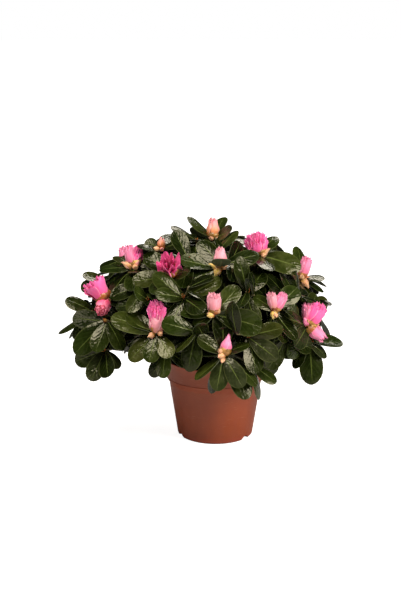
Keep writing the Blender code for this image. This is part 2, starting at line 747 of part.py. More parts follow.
def make_pot(group, cutters):
    rim_foot = POT_HEIGHT - RIM_BAND
    wall_top = rim_foot - RIM_UNDERSIDE
    outer = [
        (RIM_RADIUS - 0.0004, POT_HEIGHT),
        (RIM_RADIUS, POT_HEIGHT - 0.0006),
        (RIM_RADIUS - 0.0005, rim_foot),
        (WALL_TOP_RADIUS, wall_top),
        (WALL_FOOT_RADIUS, FOOT_CHAMFER),
        (FOOT_RADIUS, 0.0),
        (0.0, 0.0),
    ]
    inner = [
        (0.0, FLOOR),
        (WALL_FOOT_RADIUS - WALL, FLOOR),
        (WALL_TOP_RADIUS - WALL, wall_top),
        (RIM_RADIUS - 0.0005 - WALL, rim_foot + 0.0012),
        (RIM_RADIUS - WALL, POT_HEIGHT),
    ]
    pot = turned("pot", inner + outer, POT_STEPS, group)
    for number, azimuth in enumerate(NOTCH_AZIMUTHS):
        bpy.ops.mesh.primitive_cylinder_add(vertices=16, radius=NOTCH_RADIUS, depth=NOTCH_OUTER - NOTCH_INNER)
        cutter = bpy.context.object
        cutter.name = "notch_cutter_%d" % (number + 1)
        out = direction(azimuth, 0)
        middle = out * (NOTCH_INNER + NOTCH_OUTER) * 0.5
        cutter.location = middle + Vector((0.0, 0.0, NOTCH_HEIGHT - NOTCH_RADIUS))
        cutter.rotation_euler = out.to_track_quat("Z", "Y").to_euler()
        for owner in list(cutter.users_collection):
            owner.objects.unlink(cutter)
        cutters.objects.link(cutter)
        cutter.hide_render = True
        cutter.display_type = "WIRE"
        cut = pot.modifiers.new("Notch %d" % (number + 1), "BOOLEAN")
        cut.operation = "DIFFERENCE"
        cut.solver = "EXACT"
        cut.object = cutter
    pot.data.materials.append(material("pot_plastic", (0.26, 0.062, 0.030), 0.55))
    return pot


def make_soil(group):
    rim_foot = POT_HEIGHT - RIM_BAND
    wall_top = rim_foot - RIM_UNDERSIDE
    inset = WALL + GAP
    profile = [
        (0.0, SOIL_TOP),
        (RIM_RADIUS - inset - 0.0003, SOIL_TOP),
        (RIM_RADIUS - 0.0005 - inset, rim_foot + 0.0015),
        (WALL_TOP_RADIUS - inset, wall_top + 0.0002),
        (WALL_FOOT_RADIUS - inset, FLOOR + GAP),
        (0.0, FLOOR + GAP),
    ]
    soil = turned("soil", profile, POT_STEPS, group)
    soil.data.materials.append(material("potting_soil", (0.030, 0.020, 0.014), 0.95))
    return soil


def limb(name, points, radii, sides_level, look, group):
    curve = bpy.data.curves.new(name, "CURVE")
    curve.dimensions = "3D"
    curve.bevel_depth = 1.0
    curve.bevel_resolution = sides_level
    curve.use_fill_caps = True
    spline = curve.splines.new("POLY")
    spline.points.add(len(points) - 1)
    for point, place, radius in zip(spline.points, points, radii):
        point.co = (*place, 1.0)
        point.radius = radius
    made = bpy.data.objects.new(name, curve)
    group.objects.link(made)
    curve.materials.append(look)
    return made


def shells(bm):
    # the separate closed shells of a mesh, each with its signed volume
    left = set(bm.faces)
    found = []
    while left:
        seed = left.pop()
        shell = [seed]
        queue = [seed]
        while queue:
            face = queue.pop()
            for edge in face.edges:
                for other in edge.link_faces:
                    if other in left:
                        left.discard(other)
                        shell.append(other)
                        queue.append(other)
        volume = 0.0
        for face in shell:
            a, b, c = (v.co for v in face.verts)
            volume += a.dot(b.cross(c)) / 6.0
        found.append((volume, shell))
    return sorted(found, key=lambda item: -item[0])


def union_mesh(name, solids, group, solver, merge):
    # one union of all the solids, keeping only the outer shell of the main body
    pieces = collection(name + "_pieces")
    base = mesh_object(name, *solids[0], group)
    for number, solid in enumerate(solids[1:]):
        mesh_object("%s_piece_%d" % (name, number), *solid, pieces)
    union = base.modifiers.new("Union", "BOOLEAN")
    union.operation = "UNION"
    union.operand_type = "COLLECTION"
    union.collection = pieces
    union.solver = solver
    bpy.context.view_layer.update()
    depsgraph = bpy.context.evaluated_depsgraph_get()
    mesh = bpy.data.meshes.new_from_object(base.evaluated_get(depsgraph))
    bpy.data.objects.remove(base, do_unlink=True)
    for item in list(pieces.objects):
        bpy.data.objects.remove(item, do_unlink=True)
    bpy.data.collections.remove(pieces)
    bm = bmesh.new()
    bm.from_mesh(mesh)
    if merge:
        bmesh.ops.remove_doubles(bm, verts=bm.verts[:], dist=merge)
        bmesh.ops.dissolve_degenerate(bm, dist=merge, edges=bm.edges[:])
    bmesh.ops.triangulate(bm, faces=bm.faces[:])
    found = shells(bm)
    extra = [face for volume, shell in found[1:] for face in shell]
    if extra:
        bmesh.ops.delete(bm, geom=extra, context="FACES")
        bmesh.ops.delete(bm, geom=[v for v in bm.verts if not v.link_faces], context="VERTS")
    open_edges = sum(len(e.link_faces) != 2 for e in bm.edges)
    pinched = sum(not v.is_manifold for v in bm.verts)
    bm.to_mesh(mesh)
    bm.free()
    return mesh, open_edges + pinched, len(found)


def fused(name, solids, look, group):
    for solver, merge in (("EXACT", 0.0), ("EXACT", 0.000003), ("MANIFOLD", 0.0), ("MANIFOLD", 0.000003)):
        mesh, faults, count = union_mesh(name, solids, group, solver, merge)
        if not faults:
            break
        print(name, solver, merge, "faults", faults)
    mesh.name = name
    mesh.materials.clear()
    mesh.materials.append(look)
    made = bpy.data.objects.new(name, mesh)
    group.objects.link(made)
    return made, count


def mass_solids(mass):
    solids = [tube(*mass["stem"], TWIG_SIDES)]
    solids += [tube(*shoot["twig"], TWIG_SIDES) for shoot in mass["shoots"]]
    solids += [bloom_solid(bloom) for bloom in mass["blooms"]]
    solids += [leaf_solid(leaf) for leaf in mass["leaves"]]
    return solids


def build():
    clear_scene()
    plant = collection("potted_azalea")
    cutters = collection("cutters")
    make_pot(plant, cutters)
    make_soil(plant)
    bark = material("bark", (0.13, 0.075, 0.042), 0.85)
    leaf = material("leaf", (0.030, 0.062, 0.018), 0.32)
    limb("trunk", trunk_line(), [r for z, x, r in TRUNK_LEVELS], 4, bark, plant)
    masses = grow()
    for mass in masses:
        limb("bough_" + mass["name"], mass["bough"]["points"], mass["bough"]["radii"], 1, bark, plant)
        solids = mass_solids(mass)
        name = "foliage_" + mass["name"]
        made, count = fused(name, solids, leaf, plant)
        print(name, "leaves", len(mass["leaves"]), "triangles", len(made.data.polygons), "shells", count)


build()
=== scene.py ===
import math
import random

import bpy
import numpy as np
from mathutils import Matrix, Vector
from mathutils.bvhtree import BVHTree


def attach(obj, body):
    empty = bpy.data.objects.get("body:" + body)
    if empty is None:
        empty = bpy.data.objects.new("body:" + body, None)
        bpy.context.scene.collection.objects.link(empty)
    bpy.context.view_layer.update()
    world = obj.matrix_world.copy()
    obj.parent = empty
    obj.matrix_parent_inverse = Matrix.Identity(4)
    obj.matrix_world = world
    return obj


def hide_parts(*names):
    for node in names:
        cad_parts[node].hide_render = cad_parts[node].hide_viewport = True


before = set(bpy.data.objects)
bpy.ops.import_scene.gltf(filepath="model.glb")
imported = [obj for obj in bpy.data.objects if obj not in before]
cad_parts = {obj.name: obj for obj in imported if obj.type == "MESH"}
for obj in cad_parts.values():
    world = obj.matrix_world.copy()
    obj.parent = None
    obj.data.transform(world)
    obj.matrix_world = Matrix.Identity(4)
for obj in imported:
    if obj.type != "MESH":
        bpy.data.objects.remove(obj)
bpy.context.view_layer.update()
print("frame loaded,", len(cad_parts), "nodes")

# the viewpoint: distance and height angle to the plant, and the aim at the picture's centre
viewpoint = {
    "distance": 1.6,
    "elevation": 15.3,
    "aim": (-0.0176, 0.0, 0.1640),
    "focalPixels": 1356.0,
    "pictureHeight": 601,
    "middle": (200.5, 300.5),
    "sensorHeight": 36.0,
    "clipStart": 0.05,
}


def viewAxes():
    # the viewer's forward and upward directions
    tilt = math.radians(viewpoint["elevation"])
    return (Vector((0.0, math.cos(tilt), -math.sin(tilt))),
            Vector((0.0, math.sin(tilt), math.cos(tilt))))


def setCamera():
    forward = viewAxes()[0]
    data = bpy.data.cameras.new("plantCamera")
    data.sensor_fit = "VERTICAL"
    data.sensor_height = viewpoint["sensorHeight"]
    data.lens = viewpoint["focalPixels"] / viewpoint["pictureHeight"] * viewpoint["sensorHeight"]
    data.clip_start = viewpoint["clipStart"]
    camera = bpy.data.objects.new("plantCamera", data)
    bpy.context.scene.collection.objects.link(camera)
    camera.location = Vector(viewpoint["aim"]) - forward * viewpoint["distance"]
    camera.rotation_euler = forward.to_track_quat("-Z", "Y").to_euler()
    bpy.context.scene.camera = camera


setCamera()

# the pot, as a radius and height profile turned round the upright axis
pot = {
    "height": 0.0955,
    "rimRadius": 0.060,
    "rimBand": 0.022,
    "rimUnderside": 0.007,
    "wallTopRadius": 0.0548,
    "wallFootRadius": 0.0452,
    "footChamfer": 0.0030,
    "footRadius": 0.0428,
    "wall": 0.0014,
    "floor": 0.0020,
    "notchAzimuths": (53.0, 173.0, 293.0),
    "notchRadius": 0.0080,
    "notchHeight": 0.0048,
    "notchDepths": (0.0385, 0.0520),
    "sharpAngle": 40,
    "steps": 160,
}

soilTop = 0.0850
seatGap = 0.0003

# height above the soil, sideways lean and radius of the trunk
trunkLevels = (
    (0.000, 0.0000, 0.0100),
    (0.003, 0.0000, 0.0084),
    (0.009, -0.0006, 0.0070),
    (0.022, -0.0022, 0.0064),
    (0.036, -0.0045, 0.0058),
    (0.050, -0.0075, 0.0046),
)

# the rounded crown on which the shoots end, and how its limbs are sized
crown = {
    "seed": 12,
    "heart": Vector((-0.014, 0.0, 0.135)),
    "dome": Vector((0.139, 0.114, 0.107)),
    "reach": Vector((0.192, 0.164, 0.148)),
    "frontTurn": 0.32,
    "boughShare": 0.52,
    "boughRadii": (0.0026, 0.0017),
    "tierFirst": 0.010,
    "tierStep": 0.0085,
    "tiers": 5,
    "stemRadius": 0.0017,
    "stemLength": 0.008,
    "twigRadius": 0.0013,
    "tipRadius": 0.0026,
    "tipLength": 0.016,
    "rootOffset": 0.0009,
    "boughClearance": 0.0012,
    "twigClearance": 0.0008,
    "boughRoom": 1.2,
    "outlook": 0.045,
    "skyLean": 0.30,
    "forkHeight": 0.034,
    "forkInset": 0.003,
    "boughLowest": 0.008,
    "boughFromTop": 0.0035,
    "boughLead": 0.004,
    "boughBend": 0.30,
    "topBoughShare": 0.62,
    "bloomSeat": 0.0015,
    "bloomLift": 0.55,
    "bloomStretch": 1.12,
}

# how leaves are sized, set along their shoots and kept clear of the pot and of the open sides
leafRule = {
    "width": 0.49,
    "ridge": 0.020,
    "edge": 0.012,
    "clearance": 0.0006,
    "lowerLeaves": 2,
    "skirtHeight": 0.098,
    "skirtSlope": 0.31,
    "openSides": ((-0.108, -0.080), (0.074, 0.092)),
    "openHeight": 0.091,
    "lowest": 0.064,
    "goldenAngle": 137.5,
    "depth": 0.0030,
    "depthSpan": 0.0034,
    "tilt": 76,
    "lowerDepth": 0.0085,
    "lowerStep": 0.0022,
    "lowerTilt": 92,
    "tiltSpread": 8,
    "seenDepth": 0.0010,
    "seenStep": 0.0005,
    "lowerInset": -0.0004,
    "hangingBelow": 12,
    "potClearance": (0.002, 0.0015),
}
# the open space kept before a bloom from leaves of the rule and from those on finer twigs: how far up
# the bloom it starts, its half width in shares of the bloom's radius and height, and its sides
outlookRules = ((0.62, 0.75, 0.0, 6), (0.42, 0.0, 0.50, 8))
# what is tried in turn until a leaf has room: change of lean or tilt, turn, and size
seenTries = (
    (0, 0, 1), (0.2, 0, 1), (-0.2, 0, 1), (0, 15, 0.96), (0, -15, 0.96), (0.4, 0, 0.94), (-0.4, 0, 0.94),
    (0.2, 25, 0.9), (-0.2, 25, 0.9), (0.6, 0, 0.88), (-0.6, 0, 0.88), (0.3, -25, 0.84), (-0.3, 40, 0.84),
)
leafTries = (
    (0, 0, 1), (-9, 0, 1), (9, 0, 1), (-18, 0, 0.95), (0, 9, 0.95), (0, -9, 0.95), (16, 0, 0.9),
    (-27, 8, 0.9), (-12, -14, 0.85),
)

# radius, height and flare of each kind of bloom
bloomSizes = {
    "small": (0.0042, 0.013, 0.0),
    "bud": (0.0057, 0.0215, 0.1),
    "half": (0.0084, 0.025, 0.4),
    "open": (0.0104, 0.0215, 0.4),
    "large": (0.0080, 0.031, 0.2),
    "tight": (0.0061, 0.0220, 0.3),
    "plump": (0.0069, 0.021, 0.1),
    "frill": (0.0050, 0.020, 0.3),
    "rose": (0.0083, 0.022, 0.2),
    "funnel": (0.0128, 0.028, 0.4),
    "wide": (0.0120, 0.027, 0.5),
}

# front masses: each shoot has its azimuth, elevation, share of the dome's radius and leaf length, its
# blooms, the leaves that show in the picture, and the clock angles of its other leaves. A bloom has its
# kind, its top's place in the picture and its lean towards the viewer; a leaf has its tip's place, its
# lean and the degrees by which its blade is turned from the viewer
frontMasses = {
    "top": (
        (80, 84, 0.99, 0.042, (("plump", 213, 219, 0.3),),
         ((188, 217, 0.0, 62), (223, 215, -0.4, 40), (231, 229, 0.7, 50)), (262, 100)),
        (-50, 84, 0.96, 0.042, (), ((173, 225, 0.0, 62), (160, 237, 0.1, 58)), (60, 180, 240)),
        (165, 62, 0.93, 0.042, (), (), (80, 140, 200, 260)),
    ),
    "top_right": (
        (68, 53, 1.00, 0.044, (("open", 254, 235, 0.3), ("small", 270, 249, 0.4)),
         ((276, 235, -0.3, 40), (281, 249, 0.0, 62), (301, 267, 0.2, 25), (249, 269, 0.6, 40),
          (234, 246, 0.3, 60)), (190,)),
        (79, 41, 0.98, 0.042, (), ((269, 296, 0.5, 40),), (355, 180, 280)),
    ),
    "upper_front": (
        (16, 52, 1.00, 0.044, (("plump", 220, 248, 0.4), ("small", 209, 264, 0.5), ("small", 214, 277, 0.6)),
         ((201, 240, -0.5, 15), (258, 253, 0.1, 42), (177, 258, 0.1, 38), (183, 284, 0.3, 38),
          (192, 304, 0.2, 38), (258, 282, 0.2, 42), (229, 304, 0.5, 0), (221, 257, 0.95, 0)), ()),
        (-18, 60, 0.97, 0.042, (), (), (330, 30, 95, 190, 275)),
        (26, 68, 0.97, 0.040, (), ((237, 229, -0.3, 40),), (110, 230)),
    ),
    "top_left": (
        (-65, 42, 1.00, 0.044, (("tight", 127, 242, 0.1), ("frill", 140, 242, 0.0), ("small", 142, 254, 0.6),
                                ("small", 121, 262, 0.5), ("small", 133, 256, 0.9)),
         ((134, 289, 0.9, 0), (167, 255, -0.2, 30), (115, 255, -0.6, 60), (147, 253, -0.4, 66),
          (100, 268, 0.0, 60)), (215,)),
        (-65, 61, 1.00, 0.040, (("small", 161, 237, 0.3),),
         ((146, 241, 0.0, 25), (183, 242, 0.0, 48)), (210, 170)),
    ),
    "upper_left": (
        (-30, 46, 0.97, 0.042, (("wide", 169, 259, 0.9),), (), (310, 250, 205, 100, 55)),
        (-14, 32, 0.97, 0.044, (), (), (300, 255, 200, 130, 60)),
        (-45, 37, 0.95, 0.044, (), ((178, 281, 0.2, 0),), (250, 190, 140)),
    ),
    "left": (
        (-68, 19, 0.98, 0.042, (("funnel", 92, 281, 0.4), ("rose", 100, 312, 1.0)),
         ((128, 302, 0.3, 42),), (150,)),
        (-87, 25, 0.98, 0.042, (), ((84, 273, 0.0, 52), (81, 287, 0.0, 20)), (30,)),
    ),
    "left_low": (
        (-60, 10, 1.00, 0.048, (), ((74, 352, 0.3, 0), (96, 351, 0.5, 0), (124, 348, 0.5, 40)), (275,)),
        (-60, -5, 1.00, 0.046, (), ((91, 380, 0.4, 15), (106, 376, 0.8, 30), (120, 368, 0.6, 45)), (255,)),
        (-76, 10, 0.99, 0.040, (), ((67, 298, 0.0, 40), (79, 314, 0.3, 60), (58, 332, 0.0, 74)), (222,)),
    ),
    "front_left": (
        (-27, 10, 1.00, 0.044, (("large", 157, 303, 0.3),),
         ((128, 314, -0.2, 40), (112, 316, 0.0, 40), (185, 320, 0.0, 35), (129, 359, 0.3, 25),
          (148, 361, 0.5, 10), (171, 356, 0.5, 15)), ()),
        (-37, 27, 0.98, 0.042, (), ((135, 290, 0.5, 50),), (320, 262, 220, 150, 85)),
        (-22, 0, 0.95, 0.040, (), ((161, 377, 0.4, 22), (188, 364, -0.5, 30)), (250,)),
    ),
    "front": (
        (6, 22, 1.00, 0.046, (("half", 214, 294, 0.3), ("small", 207, 316, 0.7)),
         ((181, 312, 0.0, 55), (193, 325, 0.5, 45), (262, 325, 0.0, 0)), (330, 40)),
        (-4, 12, 0.99, 0.044, (), ((176, 351, 0.1, 68), (187, 371, -0.3, 25)), (285,)),
    ),
    "front_low": (
        (11, -1, 1.02, 0.046, (("bud", 229, 335, 0.3), ("small", 218, 357, 0.8)),
         ((188, 349, 0.1, 62), (199, 337, 0.0, 40), (195, 378, 0.2, 64), (216, 390, 0.4, 0),
          (250, 397, 0.0, 35), (206, 397, 0.0, 54), (260, 384, 0.1, 72), (248, 343, 0.1, 64)), (150,)),
        (28, -9, 1.00, 0.038, (), ((276, 347, 0.2, 60), (276, 382, 0.2, 42), (260, 399, 0.1, 66)), (200,)),
    ),
    "front_right": (
        (44, 19, 1.00, 0.044, (("tight", 271, 294, 0.5), ("tight", 284, 294, 0.2), ("small", 273, 319, 0.8)),
         ((255, 296, 0.2, 40), (296, 287, -0.5, 10), (297, 339, 0.2, 45), (285, 342, 0.4, 54),
          (262, 353, 0.2, 45), (273, 291, -0.5, 60)), ()),
        (31, 33, 0.98, 0.044, (), ((240, 305, 0.6, 54),), (340, 40, 105, 170)),
        (26, 8, 0.97, 0.046, (), (), (75, 130, 180, 235)),
    ),
    "right": (
        (95, 25, 0.99, 0.042, (("tight", 308, 256, 0.3), ("small", 309, 288, 0.6)),
         ((298, 246, -0.8, 45), (324, 277, 0.0, 64), (327, 291, 0.1, 62), (318, 300, 0.0, 60)), (280,)),
        (62, 22, 0.98, 0.044, (), (), (330, 20, 150, 230)),
        (94, 5, 0.90, 0.044, (), (), (10, 70, 140, 200, 280)),
    ),
    "right_low": (
        (66, 6, 1.00, 0.044, (("tight", 307, 299, 0.3), ("half", 322, 303, 0.3), ("plump", 326, 341, 0.2),
                              ("small", 304, 318, 1.0), ("small", 322, 328, 0.6)), (), (230, 280)),
        (51, 4, 0.98, 0.044, (), (), (250, 210, 165, 110)),
        (67, -2, 0.99, 0.048, (), ((314, 384, 0.2, 0), (343, 341, -0.6, 55), (282, 356, 0.3, 25),
                                   (327, 356, 0.0, 60), (293, 367, 0.1, 54)), ()),
    ),
}

# back masses: rings with their elevation, share of the dome's radius and azimuths, and the spread,
# leaf length and blooms of their shoots
backRings = (
    ("back_low", 5, 1.00, (114, 147, 182, 217, 248)),
    ("back_mid", 28, 0.96, (124, 163, 203, 238)),
    ("back_high", 54, 0.91, (150, 213)),
)
backShoots = {
    "spread": 13.0,
    "leaf": 0.044,
    "blooms": ("bud", "half", "tight", "plump"),
    "bloomsBelow": 50,
    "bloomsBefore": 240,
}


def direction(azimuth, elevation):
    a, e = math.radians(azimuth), math.radians(elevation)
    return Vector((math.sin(a) * math.cos(e), -math.cos(a) * math.cos(e), math.sin(e)))


def domePoint(azimuth, elevation, share):
    d = direction(azimuth, elevation)
    scale = 1.0 / math.sqrt(sum((d[i] / crown["dome"][i]) ** 2 for i in range(3)))
    return crown["heart"] + d * scale * share


def domeFacing(point, turn):
    r = point - crown["heart"]
    normal = Vector((r[i] / crown["dome"][i] ** 2 for i in range(3))).normalized()
    return (normal + Vector((0.0, -turn, crown["skyLean"]))).normalized()


def clockSide(facing, clock):
    up = Vector((0.0, 0.35, 1.0))
    up = (up - facing * up.dot(facing)).normalized()
    right = up.cross(facing)
    a = math.radians(clock)
    return up * math.cos(a) + right * math.sin(a)


def bezier(a, b, c, d, count):
    points = []
    for i in range(count):
        t = i / (count - 1)
        s = 1.0 - t
        points.append(a * s ** 3 + b * (3 * s * s * t) + c * (3 * s * t * t) + d * t ** 3)
    return points


def ballChain(points, radii, step=0.002):
    # balls along a limb, for telling whether two limbs touch
    balls = []
    for i in range(len(points) - 1):
        count = max(1, int((points[i + 1] - points[i]).length / step))
        for k in range(count):
            t = k / count
            p = points[i].lerp(points[i + 1], t)
            balls.append((p.x, p.y, p.z, radii[i] * (1 - t) + radii[i + 1] * t))
    balls.append((*points[-1], radii[-1]))
    return np.array(balls)


def chainsGap(one, other):
    d = np.linalg.norm(one[:, None, :3] - other[None, :, :3], axis=2)
    return float((d - one[:, None, 3] - other[None, :, 3]).min())


def roughTube(points, radii, sides):
    vertices = []
    axis = (points[1] - points[0]).normalized()
    across = axis.orthogonal().normalized()
    for i, point in enumerate(points):
        axis = (points[min(i + 1, len(points) - 1)] - points[max(i - 1, 0)]).normalized()
        across = (across - axis * across.dot(axis)).normalized()
        other = axis.cross(across)
        for k in range(sides):
            a = 2 * math.pi * k / sides
            vertices.append(point + (across * math.cos(a) + other * math.sin(a)) * radii[i])
    faces = [tuple(range(sides))[::-1]]
    for i in range(len(points) - 1):
        for k in range(sides):
            n = (k + 1) % sides
            faces.append((i * sides + k, i * sides + n, (i + 1) * sides + n, (i + 1) * sides + k))
    faces.append(tuple(range((len(points) - 1) * sides, len(points) * sides)))
    return vertices, faces


def leafHull(leaf, grow=0.0):
    # the plain spoon shape by which a leaf is tested for room
    root, along, normal = leaf["root"], leaf["along"], leaf["normal"]
    length, width = leaf["length"], leaf["width"]
    side = along.cross(normal)
    ridge = (leafRule["ridge"] * length + grow) * leaf["cup"]
    edge = (leafRule["edge"] * length + grow) * leaf["cup"]

    def place(t, x, lift):
        y = length * t + (grow if t > 0.5 else 0.0)
        return root + along * y + side * x + normal * (lift - leaf["droop"] * length * t * t)

    points = [place(0.0, 0.0, 0.0)]
    for t, share in ((0.38, 0.84), (0.74, 0.96)):
        half = width * 0.5 * share + grow
        points += [place(t, -half, -edge), place(t, half, -edge)]
    points += [place(1.0, 0.0, 0.0), place(0.56, 0.0, ridge)]
    faces = [(0, 6, 1), (1, 6, 3), (3, 6, 5), (5, 6, 4), (4, 6, 2), (2, 6, 0),
             (0, 1, 2), (1, 3, 4, 2), (3, 5, 4)]
    return points, faces


def bladeHull(leaf, grow=0.0):
    # the outer part of a leaf, which keeps clear of the leaves of its own shoot
    points, faces = leafHull(leaf, grow)
    outer = [p.copy() for p in points]
    outer[0] = points[0].lerp((points[1] + points[2]) * 0.5, 0.55)
    return outer, faces


def bloomHull(bloom):
    turn = bloom["axis"].to_track_quat("Z", "Y").to_matrix()
    vertices = []
    for i in range(1, 4):
        a = math.pi * i / 4
        for k in range(6):
            b = 2 * math.pi * k / 6
            z = math.cos(a)
            widen = (1.0 + bloom["flare"] * z) * bloom["radius"] * math.sin(a)
            vertices.append(bloom["base"] + turn @ Vector(
                (widen * math.cos(b), widen * math.sin(b), (z + 1.0) * 0.5 * bloom["height"])))
    top = bloom["base"] + turn @ Vector((0.0, 0.0, bloom["height"]))
    vertices += [top, bloom["base"].copy()]
    faces = []
    for k in range(6):
        n = (k + 1) % 6
        faces += [(18, k, n), (k, 6 + k, 6 + n, n), (6 + k, 12 + k, 12 + n, 6 + n), (12 + k, 19, 12 + n)]
    return vertices, faces


def ballOf(points):
    centre = sum(points, Vector()) / len(points)
    return centre, max((p - centre).length for p in points)


def trunkLine():
    return [Vector((level[1], 0.0, soilTop + seatGap + level[0])) for level in trunkLevels]


def trunkRadii():
    return [level[2] for level in trunkLevels]


def trunkAt(height):
    for low, high in zip(trunkLevels, trunkLevels[1:]):
        if height <= high[0]:
            t = (height - low[0]) / (high[0] - low[0])
            return (Vector((low[1] + (high[1] - low[1]) * t, 0.0, soilTop + seatGap + height)),
                    low[2] + (high[2] - low[2]) * t)
    return trunkLine()[-1], trunkLevels[-1][2]


def listShoots():
    rng = random.Random(crown["seed"])
    masses = []
    for name, shoots in frontMasses.items():
        masses.append({"name": name, "front": True, "shoots": [
            {"azimuth": s[0], "elevation": s[1], "share": s[2], "leaf": s[3],
             "blooms": s[4], "seen": s[5], "clocks": s[6]} for s in shoots]})
    for ring, elevation, share, azimuths in backRings:
        for count, azimuth in enumerate(azimuths):
            shoots = []
            start = rng.uniform(0, 120)
            for k in range(3):
                turn = math.radians(start + 120 * k)
                spread = backShoots["spread"] * rng.uniform(0.85, 1.15)
                first = rng.uniform(0, 360)
                blooming = k == 0 and elevation < backShoots["bloomsBelow"]
                kind = rng.choice(backShoots["blooms"]) if blooming else None
                shoots.append({
                    "azimuth": azimuth + spread * math.cos(turn) / math.cos(math.radians(elevation)),
                    "elevation": elevation + spread * math.sin(turn),
                    "share": share * rng.uniform(0.97, 1.03),
                    "leaf": backShoots["leaf"] * rng.uniform(0.92, 1.08),
                    "blooms": ((kind,),) if kind and azimuth < backShoots["bloomsBefore"] else (),
                    "seen": (),
                    "clocks": tuple(first + 72 * i + rng.uniform(-13, 13) for i in range(5)),
                })
            masses.append({"name": "%s_%d" % (ring, count + 1), "front": False, "shoots": shoots})
    for mass in masses:
        for shoot in mass["shoots"]:
            shoot["tip"] = domePoint(shoot["azimuth"], shoot["elevation"], shoot["share"])
            shoot["facing"] = domeFacing(shoot["tip"], crown["frontTurn"] if mass["front"] else 0.0)
        centre = sum((s["tip"] for s in mass["shoots"]), Vector()) / len(mass["shoots"])
        low = trunkAt(crown["forkHeight"])[0]
        mass["start"] = low + (centre - low) * crown["boughShare"]
        mass["along"] = (centre - mass["start"]).normalized()
        mass["height"] = math.degrees(math.atan2(mass["along"].z, mass["along"].xy.length))
    return masses


# how far round the trunk and along it a bough's seat is moved until the bough has room
seatTurns = (0, 14, -14, 28, -28, 42, -42, 56, -56, 70, -70, 90, -90)
seatLevels = (0.0, 0.003, -0.003, 0.006, -0.006)


def boughSeats(goal, tier):
    seats = []
    for shift in seatTurns:
        for level in seatLevels:
            height = crown["tierFirst"] + tier * crown["tierStep"] + level
            if not crown["boughLowest"] < height < trunkLevels[-1][0] - crown["boughFromTop"]:
                continue
            centre, radius = trunkAt(height)
            above, less = trunkAt(height + 0.001)
            axis = (above - centre).normalized()
            azimuth = math.degrees(math.atan2(goal.x - centre.x, -(goal.y - centre.y))) + shift
            out = direction(azimuth, 0)
            out = (out - axis * out.dot(axis)).normalized()
            out = (out + axis * (radius - less) / 0.001).normalized()
            seats.append((centre + out * (radius + seatGap), out))
    return seats


def growBoughs(masses):
    # boughs leave the trunk in tiers, the lowest masses from the lowest tier
    order = sorted(masses, key=lambda m: m["height"])
    tipMass = order[-1]
    placed = []
    for number, mass in enumerate(order):
        goal = mass["start"]
        best = None
        if mass is tipMass:
            line = trunkLine()
            axis = (line[-1] - line[-2]).normalized()
            seats = [(line[-1] + axis * seatGap, axis)]
        else:
            seats = boughSeats(goal, number * crown["tiers"] // (len(order) - 1))
        for seat, out in seats:
            reach = (goal - seat).length
            lead = seat + out * crown["boughLead"]
            bend = goal - mass["along"] * crown["boughLead"]
            middle = bezier(lead, lead + out * reach * crown["boughBend"],
                            bend - mass["along"] * reach * crown["boughBend"], bend, 4)
            points = [seat] + middle + [goal]
            base = crown["boughRadii"][0]
            if mass is tipMass:
                base = trunkLevels[-1][2] * crown["topBoughShare"]
            radii = [base + (crown["boughRadii"][1] - base) * i / (len(points) - 1)
                     for i in range(len(points))]
            balls = ballChain(points, radii)
            gap = min([chainsGap(balls, other["balls"]) for other in placed] or [1.0])
            if best is None or gap > best["gap"]:
                best = {"points": points, "radii": radii, "balls": balls, "gap": gap, "out": out}
            if gap > crown["boughClearance"]:
                break
        placed.append(best)
        mass["bough"] = best


def growTwigs(masses):
    # one stem from the bough's tip, forking to each shoot
    limbs = [mass["bough"]["balls"] for mass in masses]
    limbs.append(ballChain(trunkLine(), trunkRadii()))
    twigs = []
    for index, mass in enumerate(masses):
        base = mass["start"] + mass["along"] * seatGap
        mass["stem"] = ([base, base + mass["along"] * crown["stemLength"]],
                        [crown["stemRadius"], crown["stemRadius"]])
        twigs.append((index, ballChain(*mass["stem"])))
    for index, mass in enumerate(masses):
        fork = mass["stem"][0][1] - mass["along"] * crown["forkInset"]
        kept = []
        for shoot in mass["shoots"]:
            tip, facing = shoot["tip"], shoot["facing"]
            back = tip - facing * crown["tipLength"]
            reach = (back - fork).length
            for bend in (0.34, 0.2, 0.5, 0.05):
                middle = bezier(fork, fork + mass["along"] * reach * bend,
                                back - facing * reach * bend, back, 4)
                points = middle + [tip]
                thin = crown["twigRadius"]
                radii = [thin] * 3 + [thin * 1.15, crown["tipRadius"]]
                balls = ballChain(points, radii)
                others = [b for i, b in twigs if i != index] + limbs
                if min(chainsGap(balls, b) for b in others) > crown["twigClearance"]:
                    shoot["twig"] = (points, radii)
                    twigs.append((index, balls))
                    kept.append(shoot)
                    break
        mass["shoots"] = kept


def outsideSpace(points, hanging, seen, share=1.0):
    # whether a leaf would leave the crown, touch the pot or fill the open sides under it
    for p in points:
        r = p - crown["heart"]
        if sum((r[i] / crown["reach"][i]) ** 2 for i in range(3)) > share:
            return True
        if p.z < leafRule["lowest"]:
            return True
        above, beside = leafRule["potClearance"]
        if p.z < pot["height"] + above and math.hypot(p.x, p.y) < pot["rimRadius"] + beside:
            return True
        if seen:
            continue
        level = p.z + leafRule["skirtSlope"] * p.y
        if level < leafRule["skirtHeight"] and not hanging:
            return True
        if level < leafRule["openHeight"] and any(a < p.x < b for a, b in leafRule["openSides"]):
            return True
    return False


